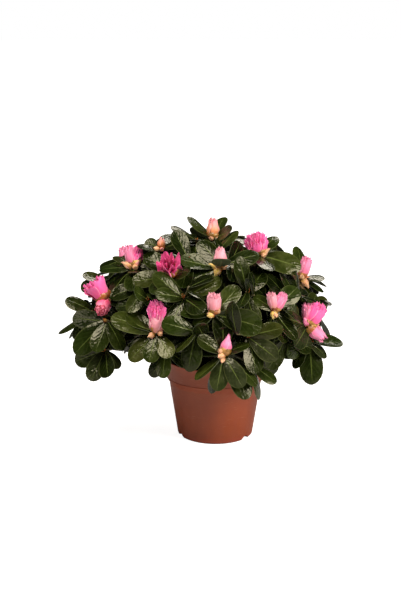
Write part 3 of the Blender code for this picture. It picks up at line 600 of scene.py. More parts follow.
class Room:
    # what already fills the crown: limbs, blooms and leaves with their owners, and the blooms' outlooks
    def __init__(self):
        self.held = []
        self.outlooks = ([], [])

    def add(self, owner, solid, kind=None):
        self.held.append((owner, *ballOf(solid[0]), BVHTree.FromPolygons(*solid), kind))

    def keepOutlook(self, bloom, way):
        for kept, (rise, broad, tall, sides) in zip(self.outlooks, outlookRules):
            start = bloom["base"] + bloom["axis"] * bloom["height"] * rise + way * bloom["radius"] * 0.5
            width = bloom["radius"] * broad + bloom["height"] * tall
            solid = roughTube([start, start + way * crown["outlook"]], [width, width], sides)
            kept.append((*ballOf(solid[0]), BVHTree.FromPolygons(*solid)))

    def near(self, centre, reach):
        for item in self.held:
            if (item[1] - centre).length < reach + item[2]:
                yield item

    def fits(self, leaf, index, hanging, seen, share=1.0):
        full, faces = leafHull(leaf, leafRule["clearance"])
        if outsideSpace(full[1:], hanging, seen, share):
            return False
        centre, reach = ballOf(full)
        whole = BVHTree.FromPolygons(full, faces)
        plain = BVHTree.FromPolygons(*leafHull(leaf))
        outlooks = self.outlooks[0 if share == 1.0 else 1]
        if not seen and any((middle - centre).length < reach + span and whole.overlap(tree)
                            for middle, span, tree in outlooks):
            return False
        outer = None
        for owner, _, _, tree, kind in self.near(centre, reach):
            if owner != index:
                if whole.overlap(tree) or plain.overlap(tree):
                    return False
            elif kind is not None:
                if outer is None:
                    outer = BVHTree.FromPolygons(*bladeHull(leaf))
                if outer.overlap(tree):
                    return False
        return True


def holdLimbs(masses, room):
    for index, mass in enumerate(masses):
        room.add(index, roughTube(*mass["stem"], 3))
        for shoot in mass["shoots"]:
            room.add(index, roughTube(*shoot["twig"], 3))
        room.add(-1, roughTube(mass["bough"]["points"],
                               [r * crown["boughRoom"] for r in mass["bough"]["radii"]], 6))
    room.add(-1, roughTube(trunkLine(), trunkRadii(), 12))


def growBlooms(masses, room, shoots):
    for index, shoot in shoots:
        for order, (kind, *spot) in enumerate(shoot["blooms"]):
            radius, height, flare = bloomSizes[kind]
            base = shoot["tip"] - shoot["facing"] * crown["bloomSeat"]
            if spot:
                offset = towardsSpot(base, spot[0], spot[1], height, spot[2])
            else:
                offset = (shoot["facing"] + Vector((0.0, 0.0, crown["bloomLift"]))).normalized() * height
            size = min(offset.length / height, crown["bloomStretch"])
            bloom = {"kind": kind, "base": base, "axis": offset.normalized(), "radius": radius * size,
                     "height": height * size, "flare": flare, "shoot": shoot["key"], "order": order}
            solid = bloomHull(bloom)
            centre, reach = ballOf(solid[0])
            tree = BVHTree.FromPolygons(*solid)
            if any(item[0] != index and tree.overlap(item[3]) for item in room.near(centre, reach)):
                print("bloom left out on", shoot["key"])
                continue
            masses[index]["blooms"].append(bloom)
            room.add(index, solid, "bloom")
            room.keepOutlook(bloom, towardsViewer() if masses[index]["front"] else shoot["facing"])


def growLeaves(masses, room):
    # blooms first, so that leaves part around them, then the leaves that show, then the others
    holdLimbs(masses, room)
    shoots = []
    for index, mass in enumerate(masses):
        mass["leaves"] = []
        mass["blooms"] = []
        for number, shoot in enumerate(mass["shoots"]):
            shoot["key"] = "%s-%d" % (mass["name"], number)
            shoots.append((index, shoot))
    growBlooms(masses, room, shoots)
    for index, shoot in shoots:
        for i, seen in enumerate(shoot["seen"]):
            rng = random.Random("%d-%s-seen-%d" % (crown["seed"], shoot["key"], i))
            if not addSeenLeaf(masses, room, index, shoot, seen, i, rng):
                print("leaf left out on", shoot["key"], seen)
    spread = leafRule["tiltSpread"]
    for index, shoot in shoots:
        count = len(shoot["clocks"])
        for i, clock in enumerate(shoot["clocks"]):
            rng = random.Random("%d-%s-%d" % (crown["seed"], shoot["key"], i))
            depth = leafRule["depth"] + leafRule["depthSpan"] * i / count
            length = shoot["leaf"] * rng.uniform(0.88, 1.08)
            tilt = leafRule["tilt"] + rng.uniform(-spread, spread)
            addLeaf(masses, room, index, shoot, clock, depth, tilt, length, 1, rng)
    for index, shoot in shoots:
        rng = random.Random("%d-%s-lower" % (crown["seed"], shoot["key"]))
        first = rng.uniform(0, 360)
        for i in range(leafRule["lowerLeaves"]):
            clock = first + leafRule["goldenAngle"] * i
            depth = leafRule["lowerDepth"] + leafRule["lowerStep"] * i
            length = shoot["leaf"] * rng.uniform(0.92, 1.12)
            tilt = leafRule["lowerTilt"] + rng.uniform(-spread, spread)
            addLeaf(masses, room, index, shoot, clock, depth, tilt, length, 2, rng)
    print("leaves by the source's rule", sum(len(m["leaves"]) for m in masses))


def towardsViewer():
    return -viewAxes()[0]


def towardsSpot(start, x, y, length, lean):
    # the way from a point to where its far end shows in the picture, leaning to or from the viewer
    forward, up = viewAxes()
    eye = Vector(viewpoint["aim"]) - forward * viewpoint["distance"]
    across, down = x - viewpoint["middle"][0], y - viewpoint["middle"][1]
    ray = (forward + Vector((1.0, 0.0, 0.0)) * (across / viewpoint["focalPixels"])
           - up * (down / viewpoint["focalPixels"]))
    flat = eye + ray * (start - eye).dot(forward) - start
    spare = math.sqrt(max(length * length - flat.length_squared, 0.1 * length * length))
    return flat - ray.normalized() * spare * lean


def turnedNormal(along, facing, turn):
    # the upper side of a blade: turned to the viewer, then rolled away from them towards the sky
    viewer = towardsViewer()
    broad = (viewer - along * viewer.dot(along)).normalized()
    side = along.cross(broad)
    sky = facing * 0.6 + Vector((0.0, 0.0, 1.0))
    a = math.radians(turn)
    normal = broad * math.cos(a) + side * math.sin(a) * (1 if side.dot(sky) > 0 else -1)
    return normal if normal.dot(sky) > -0.15 else -normal


def addSeenLeaf(masses, room, index, shoot, seen, number, rng):
    x, y, lean, turn = seen
    facing = shoot["facing"]
    droop = rng.uniform(0.02, 0.07)
    cup = 1 if rng.random() < 0.75 else -1
    wide = leafRule["width"] * rng.uniform(1.0, 1.16)
    look = rng.random()
    root = shoot["tip"] - facing * (leafRule["seenDepth"] + leafRule["seenStep"] * number)
    for shift, roll, size in seenTries:
        offset = towardsSpot(root, x, y, shoot["leaf"], max(-1.0, min(1.0, lean + shift))) * size
        along = offset.normalized()
        normal = turnedNormal(along, facing, turn + roll)
        length = offset.length
        leaf = {"root": root + along * crown["rootOffset"], "along": along, "normal": normal,
                "length": length, "width": max(length, shoot["leaf"] * 0.8) * wide * size,
                "droop": droop, "cup": cup, "shoot": shoot["key"], "whorl": 1, "look": look}
        if room.fits(leaf, index, True, True):
            masses[index]["leaves"].append(leaf)
            room.add(index, leafHull(leaf))
            room.add(index, bladeHull(leaf), "leaf")
            return True
    return False


def addLeaf(masses, room, index, shoot, clock, depth, tilt, length, whorl, rng):
    facing = shoot["facing"]
    droop = rng.uniform(0.06, 0.20)
    cup = 1 if rng.random() < 0.7 else -1
    width = length * leafRule["width"] * rng.uniform(0.90, 1.12)
    hanging = shoot["elevation"] < leafRule["hangingBelow"] and masses[index]["front"]
    inset = crown["rootOffset"] if whorl == 1 else leafRule["lowerInset"]
    share = filling["reach"] if whorl == 3 else 1.0
    for shift, turn, size in leafTries:
        side = clockSide(facing, clock + turn)
        a = math.radians(tilt + shift)
        along = (facing * math.cos(a) + side * math.sin(a)).normalized()
        normal = (facing * math.sin(a) - side * math.cos(a)).normalized()
        leaf = {"root": shoot["tip"] - facing * depth + side * inset, "along": along,
                "normal": normal, "length": length * size, "width": width * size,
                "droop": droop, "cup": cup, "shoot": shoot["key"], "whorl": whorl,
                "look": droop * 97.0 % 1.0}
        if room.fits(leaf, index, hanging, False, share):
            masses[index]["leaves"].append(leaf)
            room.add(index, leafHull(leaf))
            room.add(index, bladeHull(leaf), "leaf")
            return


# finer twigs that the source leaves out: side twigs within the same crown, each with its own whorl
filling = {
    "rounds": (0.50, 0.80, 0.28, 0.66, 0.92, 0.40),
    "tries": 6,
    "enough": 3,
    "length": 0.016,
    "leaf": 0.033,
    "reach": 0.66,
    "leavesEach": 6,
    "depth": 0.0008,
    "depthStep": 0.0012,
    "tilt": 66,
    "clear": 0.0025,
    "radius": 0.0008,
    "tipRadius": 0.0011,
}


def addTwiglet(masses, room, index, key, start, along, rng):
    side = clockSide(along, rng.uniform(0, 360))
    facing = (along * 0.55 + side * 0.75 + Vector((0, 0, 0.25))).normalized()
    tip = start + facing * filling["length"] * rng.uniform(0.8, 1.25)
    tube = roughTube([start + facing * filling["clear"], tip], [filling["radius"], filling["tipRadius"]], 4)
    centre, reach = ballOf(tube[0])
    tree = BVHTree.FromPolygons(*tube)
    if any(tree.overlap(item[3]) for item in room.near(centre, reach)):
        return 0
    twiglet = {"tip": tip, "facing": facing, "elevation": 90, "key": key}
    first = rng.uniform(0, 360)
    mass = masses[index]
    before = len(mass["leaves"])
    for i in range(filling["leavesEach"]):
        length = filling["leaf"] * rng.uniform(0.75, 1.2)
        addLeaf(masses, room, index, twiglet, first + leafRule["goldenAngle"] * i,
                filling["depth"] + filling["depthStep"] * i, filling["tilt"] + rng.uniform(-14, 24),
                length, 3, rng)
    got = len(mass["leaves"]) - before
    if got:
        mass["twiglets"].append(([start, start.lerp(tip, 0.5), tip],
                                 [filling["radius"] * 1.3, filling["radius"], filling["tipRadius"]]))
        room.add(index, tube)
    return got


def growFilling(masses, room):
    for mass in masses:
        mass["twiglets"] = []
    total = 0
    for level, share in enumerate(filling["rounds"]):
        for index, mass in enumerate(masses):
            for shoot in mass["shoots"]:
                key = "%s-%d" % (shoot["key"], level)
                rng = random.Random("fill-" + key)
                points = shoot["twig"][0]
                place = share * (len(points) - 1)
                low = int(place)
                start = points[low].lerp(points[low + 1], place - low)
                along = (points[low + 1] - points[low]).normalized()
                for _ in range(filling["tries"]):
                    got = addTwiglet(masses, room, index, key, start, along, rng)
                    total += got
                    if got >= filling["enough"]:
                        break
    print("leaves on finer twigs", total)


masses = listShoots()
growBoughs(masses)
growTwigs(masses)
room = Room()
growLeaves(masses, room)
growFilling(masses, room)


def meshPiece(name, vertices, faces, looks, indices=None, attributes=None, sharpAngle=48.0):
    # a mesh from arrays of points and of equal-sided faces, or a list of such face arrays
    groups = faces if isinstance(faces, list) else [faces]
    loops = np.concatenate([g.ravel() for g in groups]).astype(np.int32)
    sizes = np.concatenate([np.full(len(g), g.shape[1], np.int32) for g in groups])
    starts = np.concatenate([[0], np.cumsum(sizes)[:-1]]).astype(np.int32)
    mesh = bpy.data.meshes.new(name)
    mesh.vertices.add(len(vertices))
    mesh.vertices.foreach_set("co", np.asarray(vertices, np.float32).ravel())
    mesh.loops.add(len(loops))
    mesh.loops.foreach_set("vertex_index", loops)
    mesh.polygons.add(len(sizes))
    mesh.polygons.foreach_set("loop_start", starts)
    for look in looks:
        mesh.materials.append(look)
    if indices is not None:
        mesh.polygons.foreach_set("material_index", np.asarray(indices, np.int32))
    mesh.update(calc_edges=True)
    mesh.validate()
    for key, (kind, values) in (attributes or {}).items():
        made = mesh.attributes.new(key, kind, "POINT")
        field = "color" if kind == "FLOAT_COLOR" else "vector" if kind == "FLOAT_VECTOR" else "value"
        made.data.foreach_set(field, np.asarray(values, np.float32).ravel())
    mesh.polygons.foreach_set("use_smooth", np.ones(len(sizes), bool))
    mesh.set_sharp_from_angle(angle=math.radians(sharpAngle))
    piece = bpy.data.objects.new(name, mesh)
    bpy.context.scene.collection.objects.link(piece)
    return piece


def slabs(grid, thick, below):
    # many thin closed sheets of the same grid: upper side, lower side and the rim between them
    count, rows, columns = grid.shape[:3]
    downT = np.gradient(grid, axis=1)
    acrossS = np.gradient(grid, axis=2)
    normal = np.cross(acrossS, downT)
    normal /= np.maximum(np.linalg.norm(normal, axis=3, keepdims=True), 1e-12)
    upper = grid + normal * (thick * 0.5)[..., None]
    lower = grid - normal * (thick * 0.5 + below)[..., None]
    points = np.stack([upper, lower], axis=1).reshape(-1, 3)
    index = np.arange(rows * columns).reshape(rows, columns)
    a, b = index[:-1, :-1].ravel(), index[:-1, 1:].ravel()
    c, d = index[1:, 1:].ravel(), index[1:, :-1].ravel()
    top = np.stack([a, b, c, d], axis=1)
    low = np.stack([d, c, b, a], axis=1) + rows * columns
    ring = np.concatenate([index[0, :], index[1:, -1], index[-1, -2::-1], index[-2:0:-1, 0]])
    after = np.roll(ring, -1)
    rim = np.stack([after, ring, ring + rows * columns, after + rows * columns], axis=1)
    one = np.concatenate([top, low, rim])
    part = np.concatenate([np.zeros(len(top)), np.ones(len(low)), np.ones(len(rim)) * 2]).astype(int)
    shift = (np.arange(count) * rows * columns * 2)[:, None, None]
    return points, (one[None] + shift).reshape(-1, 4), np.tile(part, count)


def doubled(values):
    # the same values for the upper and the lower side of each sheet
    return np.stack([values, values], axis=1).reshape(-1, values.shape[-1])


# shader helpers: a value may be a plain one or another node's socket
def plug(tree, socket, value):
    if isinstance(value, bpy.types.NodeSocket):
        tree.links.new(value, socket)
    else:
        socket.default_value = value


def nodeOf(tree, kind, settings=None, **inputs):
    node = tree.nodes.new(kind)
    for key, value in (settings or {}).items():
        setattr(node, key, value)
    for key, value in inputs.items():
        plug(tree, node.inputs[key.replace("_", " ")], value)
    return node


def mathOf(tree, operation, a, b=None):
    node = tree.nodes.new("ShaderNodeMath")
    node.operation = operation
    plug(tree, node.inputs[0], a)
    if b is not None:
        plug(tree, node.inputs[1], b)
    return node.outputs[0]


def mixOf(tree, factor, first, second, blend="MIX"):
    node = tree.nodes.new("ShaderNodeMix")
    node.data_type = "RGBA"
    node.blend_type = blend
    for number, value in ((0, factor), (6, first), (7, second)):
        plug(tree, node.inputs[number], (*value, 1.0) if isinstance(value, tuple) else value)
    return node.outputs[2]


def layOver(tree, base, mask, strength, colour):
    # a colour laid over the base where the mask is
    return mixOf(tree, mathOf(tree, "MULTIPLY", mask, strength), base, colour)


def addShares(tree, first, second, shares):
    # two reliefs added up, each at its share
    return mathOf(tree, "ADD", mathOf(tree, "MULTIPLY", first, shares[0]),
                  mathOf(tree, "MULTIPLY", second, shares[1]))


def rangeOf(tree, value, fromLow, fromHigh, toLow, toHigh):
    node = tree.nodes.new("ShaderNodeMapRange")
    node.interpolation_type = "SMOOTHSTEP"
    tree.links.new(value, node.inputs[0])
    for number, limit in enumerate((fromLow, fromHigh, toLow, toHigh)):
        node.inputs[number + 1].default_value = limit
    return node.outputs[0]


def newGroup(name, inputs, outputs):
    group = bpy.data.node_groups.new(name, "ShaderNodeTree")
    for label, kind, value in inputs:
        socket = group.interface.new_socket(name=label, in_out="INPUT", socket_type=kind)
        if value is not None:
            socket.default_value = value
    for label, kind in outputs:
        group.interface.new_socket(name=label, in_out="OUTPUT", socket_type=kind)
    return group, group.nodes.new("NodeGroupInput"), group.nodes.new("NodeGroupOutput")


def mottleGroup():
    # soft uneven patches and a finer grain over any surface
    group, start, end = newGroup(
        "mottle",
        [("Patch Scale", "NodeSocketFloat", 60.0), ("Grain Scale", "NodeSocketFloat", 900.0)],
        [("Patch", "NodeSocketFloat"), ("Grain", "NodeSocketFloat")])
    place = nodeOf(group, "ShaderNodeTexCoord").outputs["Object"]
    patch = nodeOf(group, "ShaderNodeTexNoise", Vector=place, Scale=start.outputs["Patch Scale"],
                   Detail=3.0, Roughness=0.6)
    grain = nodeOf(group, "ShaderNodeTexNoise", Vector=place, Scale=start.outputs["Grain Scale"],
                   Detail=2.0, Roughness=0.6)
    group.links.new(rangeOf(group, patch.outputs[0], 0.32, 0.68, 0.0, 1.0), end.inputs["Patch"])
    group.links.new(grain.outputs[0], end.inputs["Grain"])
    return group


def bladeGroup():
    # ribs and rim of a leaf or petal from its own place: along, across and a number of its own
    group, start, end = newGroup(
        "bladeVeins",
        [("Place", "NodeSocketVector", None), ("Veins", "NodeSocketFloat", 8.0),
         ("Slant", "NodeSocketFloat", 0.30)],
        [("Rib", "NodeSocketFloat"), ("Vein", "NodeSocketFloat"), ("Rim", "NodeSocketFloat"),
         ("Height", "NodeSocketFloat")])
    split = nodeOf(group, "ShaderNodeSeparateXYZ", Vector=start.outputs["Place"])
    along, across, own = split.outputs
    off = mathOf(group, "ABSOLUTE", across)
    taper = mathOf(group, "SUBTRACT", 1.05, along)
    ribWidth = mathOf(group, "MULTIPLY", taper, 0.16)
    rib = mathOf(group, "DIVIDE", off, mathOf(group, "MAXIMUM", ribWidth, 0.02))
    rib = rangeOf(group, rib, 0.25, 1.0, 1.0, 0.0)
    slanted = mathOf(group, "SUBTRACT", along, mathOf(group, "MULTIPLY", off, start.outputs["Slant"]))
    side = mathOf(group, "SIGN", across)
    uneven = mathOf(group, "ADD", mathOf(group, "MULTIPLY", side, 0.21), own)
    beat = mathOf(group, "ADD", mathOf(group, "MULTIPLY", slanted, start.outputs["Veins"]), uneven)
    wave = mathOf(group, "ABSOLUTE", mathOf(group, "SUBTRACT", mathOf(group, "FRACT", beat), 0.5))
    vein = rangeOf(group, wave, 0.0, 0.14, 1.0, 0.0)
    fade = rangeOf(group, off, 0.55, 1.0, 1.0, 0.15)
    vein = mathOf(group, "MULTIPLY", vein, fade)
    rim = rangeOf(group, off, 0.88, 1.0, 0.0, 1.0)
    swell = rangeOf(group, wave, 0.0, 0.5, 0.0, 1.0)
    height = mathOf(group, "SUBTRACT", mathOf(group, "MULTIPLY", mathOf(group, "MULTIPLY", swell, fade), 0.6),
                    mathOf(group, "MULTIPLY", rib, 0.8))
    group.links.new(rib, end.inputs["Rib"])
    group.links.new(vein, end.inputs["Vein"])
    group.links.new(rim, end.inputs["Rim"])
    group.links.new(height, end.inputs["Height"])
    return group


mottle = mottleGroup()
bladeVeins = bladeGroup()


def newMaterial(name):
    made = bpy.data.materials.new(name)
    made.use_nodes = True
    return made, made.node_tree, made.node_tree.nodes["Principled BSDF"]


def useGroup(tree, group, **inputs):
    return nodeOf(tree, "ShaderNodeGroup", {"node_tree": group}, **inputs)


def attributeOf(tree, name, output):
    return nodeOf(tree, "ShaderNodeAttribute", {"attribute_name": name}).outputs[output]


def setSurface(tree, shader, base, roughness, height, bump):
    # colour, roughness and relief, with the relief's strength and depth
    plug(tree, shader.inputs["Base Color"], base)
    plug(tree, shader.inputs["Roughness"], roughness)
    node = nodeOf(tree, "ShaderNodeBump", Strength=bump[0], Distance=bump[1], Height=height)
    plug(tree, shader.inputs["Normal"], node.outputs[0])


# blades: how many veins and their slant, the scales of patches and grain, the tone by which some patches
# are darkened as painted shade, what is laid over (where, how strongly, its colour, and whether it takes
# up the blade's own colour), the roughness from patch to patch, the relief's shares of ribs and grain, and
# its bump
leafUpperRule = {
    "name": "leafUpper", "attribute": "blade",
    "veins": (6.0, 0.42), "scales": (110.0, 170.0),
    "patch": (0.52, 0.58, 0.50),
    # the pale rim of the upper side is partly the leaf's pale hairs and partly painted highlight where light
    # catches the edge
    "over": (("Vein", 0.16, (0.050, 0.080, 0.018), False), ("Rib", 0.50, (0.110, 0.145, 0.030), False),
             ("Rim", 0.45, (0.100, 0.115, 0.035), False)),
    "roughness": (0.15, 0.25),
    "relief": (0.28, 1.3), "bump": (0.45, 0.0011),
    "settings": {"Specular IOR Level": 0.25, "Specular Tint": (1.0, 0.94, 0.70, 1.0)},
}
leafUnderRule = {
    "name": "leafUnder", "attribute": "blade",
    "veins": (7.0, 0.32), "scales": (120.0, 1400.0),
    "pale": (0.55, (0.085, 0.105, 0.050)),
    "patch": (0.78, 0.80, 0.74),
    "over": (("Rib", 0.6, (0.150, 0.180, 0.075), False), ("Vein", 0.3, (0.120, 0.150, 0.065), False)),
    "roughness": (0.62, 0.62),
    "relief": (-0.6, 0.6), "bump": (0.4, 0.0006),
    "settings": {},
}
petalRule = {
    "name": "petal", "attribute": "petal",
    "veins": (4.0, -0.5), "scales": (220.0, 1500.0),
    "patch": (0.98, 0.84, 0.90),
    "over": (("Vein", 0.32, (0.95, 0.56, 0.70), True), ("Rim", 0.62, (0.98, 0.60, 0.72), False)),
    "roughness": (0.55, 0.55),
    "relief": (0.5, 0.4), "bump": (0.35, 0.0006),
    "settings": {"Sheen Weight": 0.12, "Subsurface Weight": 0.10, "Subsurface Radius": (1.0, 0.45, 0.55),
                 "Subsurface Scale": 0.0008},
}
scaleRule = {
    "name": "budScale", "attribute": "petal",
    "veins": (3.0, -0.4), "scales": (420.0, 1800.0),
    "patch": (0.70, 0.58, 0.50),
    "over": (("Rim", 0.5, (0.30, 0.13, 0.045), False),),
    "roughness": (0.42, 0.42),
    "relief": (0.0, 1.0), "bump": (0.4, 0.0004),
    "settings": {"Coat Weight": 0.15},
}


def bladeMaterial(rule):
    made, tree, shader = newMaterial(rule["name"])
    colour = attributeOf(tree, rule["attribute"] + "Colour", "Color")
    place = attributeOf(tree, rule["attribute"] + "Place", "Vector")
    blade = useGroup(tree, bladeVeins, Place=place, Veins=rule["veins"][0], Slant=rule["veins"][1])
    spots = useGroup(tree, mottle, Patch_Scale=rule["scales"][0], Grain_Scale=rule["scales"][1])
    if "pale" in rule:
        share, tone = rule["pale"]
        colour = mixOf(tree, share, colour, tone)
    # painted shade: the blade's colour is darkened by the patch tone where the patches fall
    patch = mixOf(tree, 1.0, colour, rule["patch"], "MULTIPLY")
    base = mixOf(tree, spots.outputs["Patch"], patch, colour)
    for where, strength, tone, own in rule["over"]:
        if own:
            tone = mixOf(tree, 1.0, colour, tone, "MULTIPLY")
        base = layOver(tree, base, blade.outputs[where], strength, tone)
    roughness = rangeOf(tree, spots.outputs["Patch"], 0.0, 1.0, *rule["roughness"])
    height = addShares(tree, blade.outputs["Height"], spots.outputs["Grain"], rule["relief"])
    setSurface(tree, shader, base, roughness, height, rule["bump"])
    for key, value in rule["settings"].items():
        shader.inputs[key].default_value = value
    return made


barkRule = {
    "old": ((0.075, 0.042, 0.024), (0.185, 0.115, 0.068)),
    "young": ((0.050, 0.052, 0.018), (0.115, 0.090, 0.034)),
    "crack": (0.022, 0.012, 0.007),
    "crackStretch": (1.0, 1.0, 0.22),
    "crackScale": 620.0,
    "crackWidth": 0.12,
    "roughness": (0.45, 0.85),
    "bump": (0.6, 0.0006),
}


def barkMaterial():
    made, tree, shader = newMaterial("bark")
    age = attributeOf(tree, "barkAge", "Fac")
    spots = useGroup(tree, mottle, Patch_Scale=260.0, Grain_Scale=1500.0)
    place = nodeOf(tree, "ShaderNodeTexCoord").outputs["Object"]
    stretch = nodeOf(tree, "ShaderNodeMapping", Vector=place, Scale=barkRule["crackStretch"])
    cracks = nodeOf(tree, "ShaderNodeTexVoronoi", {"feature": "DISTANCE_TO_EDGE"},
                    Vector=stretch.outputs[0], Scale=barkRule["crackScale"])
    crack = rangeOf(tree, cracks.outputs["Distance"], 0.0, barkRule["crackWidth"], 1.0, 0.0)
    old = mixOf(tree, spots.outputs["Patch"], *barkRule["old"])
    young = mixOf(tree, spots.outputs["Patch"], *barkRule["young"])
    base = mixOf(tree, age, young, old)
    # painted shade: old bark is darkened in its cracks
    base = layOver(tree, base, mathOf(tree, "MULTIPLY", crack, age), 0.6, barkRule["crack"])
    height = mathOf(tree, "SUBTRACT", spots.outputs["Grain"], mathOf(tree, "MULTIPLY", crack, 0.8))
    setSurface(tree, shader, base, rangeOf(tree, age, 0.0, 1.0, *barkRule["roughness"]), height,
               barkRule["bump"])
    return made


soilRule = {
    "peat": ((0.014, 0.009, 0.006), (0.045, 0.028, 0.018)),
    "barkCrumb": (0.110, 0.062, 0.034),
    "roughness": 0.92,
    "bump": (0.9, 0.0012),
}


def soilMaterial():
    made, tree, shader = newMaterial("moistPeat")
    spots = useGroup(tree, mottle, Patch_Scale=300.0, Grain_Scale=1600.0)
    peat = mixOf(tree, spots.outputs["Patch"], *soilRule["peat"])
    base = mixOf(tree, attributeOf(tree, "crumbTone", "Fac"), peat, soilRule["barkCrumb"])
    setSurface(tree, shader, base, soilRule["roughness"], spots.outputs["Grain"], soilRule["bump"])
    return made


# the pot's plastic, its flow lines and scuffs, and the lighter, redder tone at its foot, painted light on the
# chamfer
potRule = {
    "plastic": ((0.240, 0.040, 0.009), (0.276, 0.049, 0.011)),
    "flow": (0.245, 0.052, 0.025),
    "flowShare": 0.30,
    "scuff": (0.46, 0.19, 0.12),
    "scuffShare": 0.28,
    "foot": (0.34, 0.050, 0.028),
    "paintedFootLightShare": 0.45,
    "paintedFootLightHeight": 0.009,
    "roughness": (0.46, 0.56),
    "scuffRoughness": 0.12,
    "relief": (0.25, 0.6),
    "bump": (0.25, 0.0004),
}


def potMaterial():
    made, tree, shader = newMaterial("potPlastic")
    place = nodeOf(tree, "ShaderNodeTexCoord").outputs["Object"]
    spots = useGroup(tree, mottle, Patch_Scale=26.0, Grain_Scale=1700.0)
    flow = nodeOf(tree, "ShaderNodeMapping", Vector=place, Scale=(1.0, 1.0, 0.12))
    noise = nodeOf(tree, "ShaderNodeTexNoise", Vector=flow.outputs[0], Scale=160.0, Detail=3.0)
    lines = noise.outputs[0]
    scratchMap = nodeOf(tree, "ShaderNodeMapping", Vector=place, Rotation=(0.3, 0.2, 0.5),
                        Scale=(1.0, 1.0, 7.0))
    scratches = nodeOf(tree, "ShaderNodeTexNoise", Vector=scratchMap.outputs[0], Scale=85.0, Detail=4.0)
    scuff = rangeOf(tree, scratches.outputs[0], 0.64, 0.74, 0.0, 1.0)
    base = mixOf(tree, spots.outputs["Patch"], *potRule["plastic"])
    base = mixOf(tree, rangeOf(tree, lines, 0.35, 0.7, 0.0, potRule["flowShare"]), base, potRule["flow"])
    base = layOver(tree, base, scuff, potRule["scuffShare"], potRule["scuff"])
    # painted light: the pot is lighter and redder towards its foot
    height = nodeOf(tree, "ShaderNodeSeparateXYZ", Vector=place).outputs["Z"]
    foot = rangeOf(tree, height, 0.0, potRule["paintedFootLightHeight"], 1.0, 0.0)
    base = layOver(tree, base, foot, potRule["paintedFootLightShare"], potRule["foot"])
    rough = mathOf(tree, "ADD", rangeOf(tree, lines, 0.3, 0.7, *potRule["roughness"]),
                   mathOf(tree, "MULTIPLY", scuff, potRule["scuffRoughness"]))
    relief = addShares(tree, spots.outputs["Grain"], lines, potRule["relief"])
    setSurface(tree, shader, base, rough, relief, potRule["bump"])
    return made


leafUpper = bladeMaterial(leafUpperRule)
leafUnder = bladeMaterial(leafUnderRule)
petalLook = bladeMaterial(petalRule)
scaleLook = bladeMaterial(scaleRule)
barkLook = barkMaterial()
soilLook = soilMaterial()
potLook = potMaterial()
print("materials made")


def potProfile():
    # radius and height from the middle of the floor up the inside, over the rim and down to the underside
    rimFoot = pot["height"] - pot["rimBand"]
    wallTop = rimFoot - pot["rimUnderside"]
    rim, wall = pot["rimRadius"], pot["wall"]
    profile = [
        (0.0, pot["floor"]), (pot["wallFootRadius"] - wall - 0.003, pot["floor"]),
        (pot["wallFootRadius"] - wall, pot["floor"] + 0.003),
        (pot["wallTopRadius"] - wall, wallTop),
        (rim - 0.0005 - wall - 0.0004, rimFoot + 0.0008), (rim - 0.0005 - wall, rimFoot + 0.0030),
        (rim - wall - 0.0002, pot["height"] - 0.0005), (rim - wall, pot["height"] - 0.0001),
        (rim - wall * 0.5, pot["height"]), (rim - 0.0004, pot["height"]), (rim, pot["height"] - 0.0005),
        (rim - 0.0002, pot["height"] - 0.0014), (rim - 0.0008, pot["height"] - 0.0024),
        (rim - 0.0009, pot["height"] - 0.012), (rim - 0.0010, rimFoot + 0.0009),
        (rim - 0.0005, rimFoot + 0.0004), (rim - 0.0006, rimFoot), (rim - 0.0012, rimFoot - 0.0008),
        (pot["wallTopRadius"] + 0.0006, wallTop + 0.0006), (pot["wallTopRadius"], wallTop - 0.0006),
        (pot["wallTopRadius"] - 0.0001, wallTop - 0.0010),
    ]
    low = wallTop - 0.0010
    for i in range(1, 13):
        t = i / 12
        z = low + (pot["footChamfer"] - low) * t
        profile.append((pot["wallTopRadius"] + (pot["wallFootRadius"] - pot["wallTopRadius"]) * t, z))
    for i in range(1, 7):
        a = math.pi / 2 * i / 6
        profile.append((pot["footRadius"] + (pot["wallFootRadius"] - pot["footRadius"]) * math.cos(a),
                        pot["footChamfer"] * (1 - math.sin(a))))
    profile += [(pot["footRadius"] - 0.004, 0.0), (pot["footRadius"] - 0.0048, 0.0007), (0.0, 0.0007)]
    return profile


def notchCutter(azimuth):
    inner, outer = pot["notchDepths"]
    out = direction(azimuth, 0)
    bpy.ops.mesh.primitive_cylinder_add(vertices=48, radius=pot["notchRadius"], depth=outer - inner)
    cutter = bpy.context.object
    cutter.location = (out * (inner + outer) * 0.5
                       + Vector((0, 0, pot["notchHeight"] - pot["notchRadius"])))
    cutter.rotation_euler = out.to_track_quat("Z", "Y").to_euler()
    return cutter


def makePot():
    profile = potProfile()
    mesh = bpy.data.meshes.new("potProfile")
    mesh.from_pydata([(r, 0.0, z) for r, z in profile], [(i, i + 1) for i in range(len(profile) - 1)], [])
    body = bpy.data.objects.new("potProfile", mesh)
    bpy.context.scene.collection.objects.link(body)
    screw = body.modifiers.new("Turn", "SCREW")
    screw.axis = "Z"
    screw.steps = pot["steps"]
    screw.render_steps = pot["steps"]
    screw.use_merge_vertices = True
    screw.merge_threshold = 0.00002
    cutters = []
    for azimuth in pot["notchAzimuths"]:
        cutter = notchCutter(azimuth)
        cut = body.modifiers.new("Notch", "BOOLEAN")
        cut.operation = "DIFFERENCE"
        cut.solver = "EXACT"
        cut.object = cutter
        cutters.append(cutter)
    bpy.context.view_layer.update()
    made = bpy.data.meshes.new_from_object(body.evaluated_get(bpy.context.evaluated_depsgraph_get()))
    for item in cutters + [body]:
        bpy.data.objects.remove(item, do_unlink=True)
    made.name = "potShell"
    made.materials.clear()
    made.materials.append(potLook)
    made.polygons.foreach_set("use_smooth", np.ones(len(made.polygons), bool))
    made.set_sharp_from_angle(angle=math.radians(pot["sharpAngle"]))
    piece = bpy.data.objects.new("potShell", made)
    bpy.context.scene.collection.objects.link(piece)
    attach(piece, "root")
    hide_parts("pot")
    print("pot", len(made.polygons), "faces")


makePot()

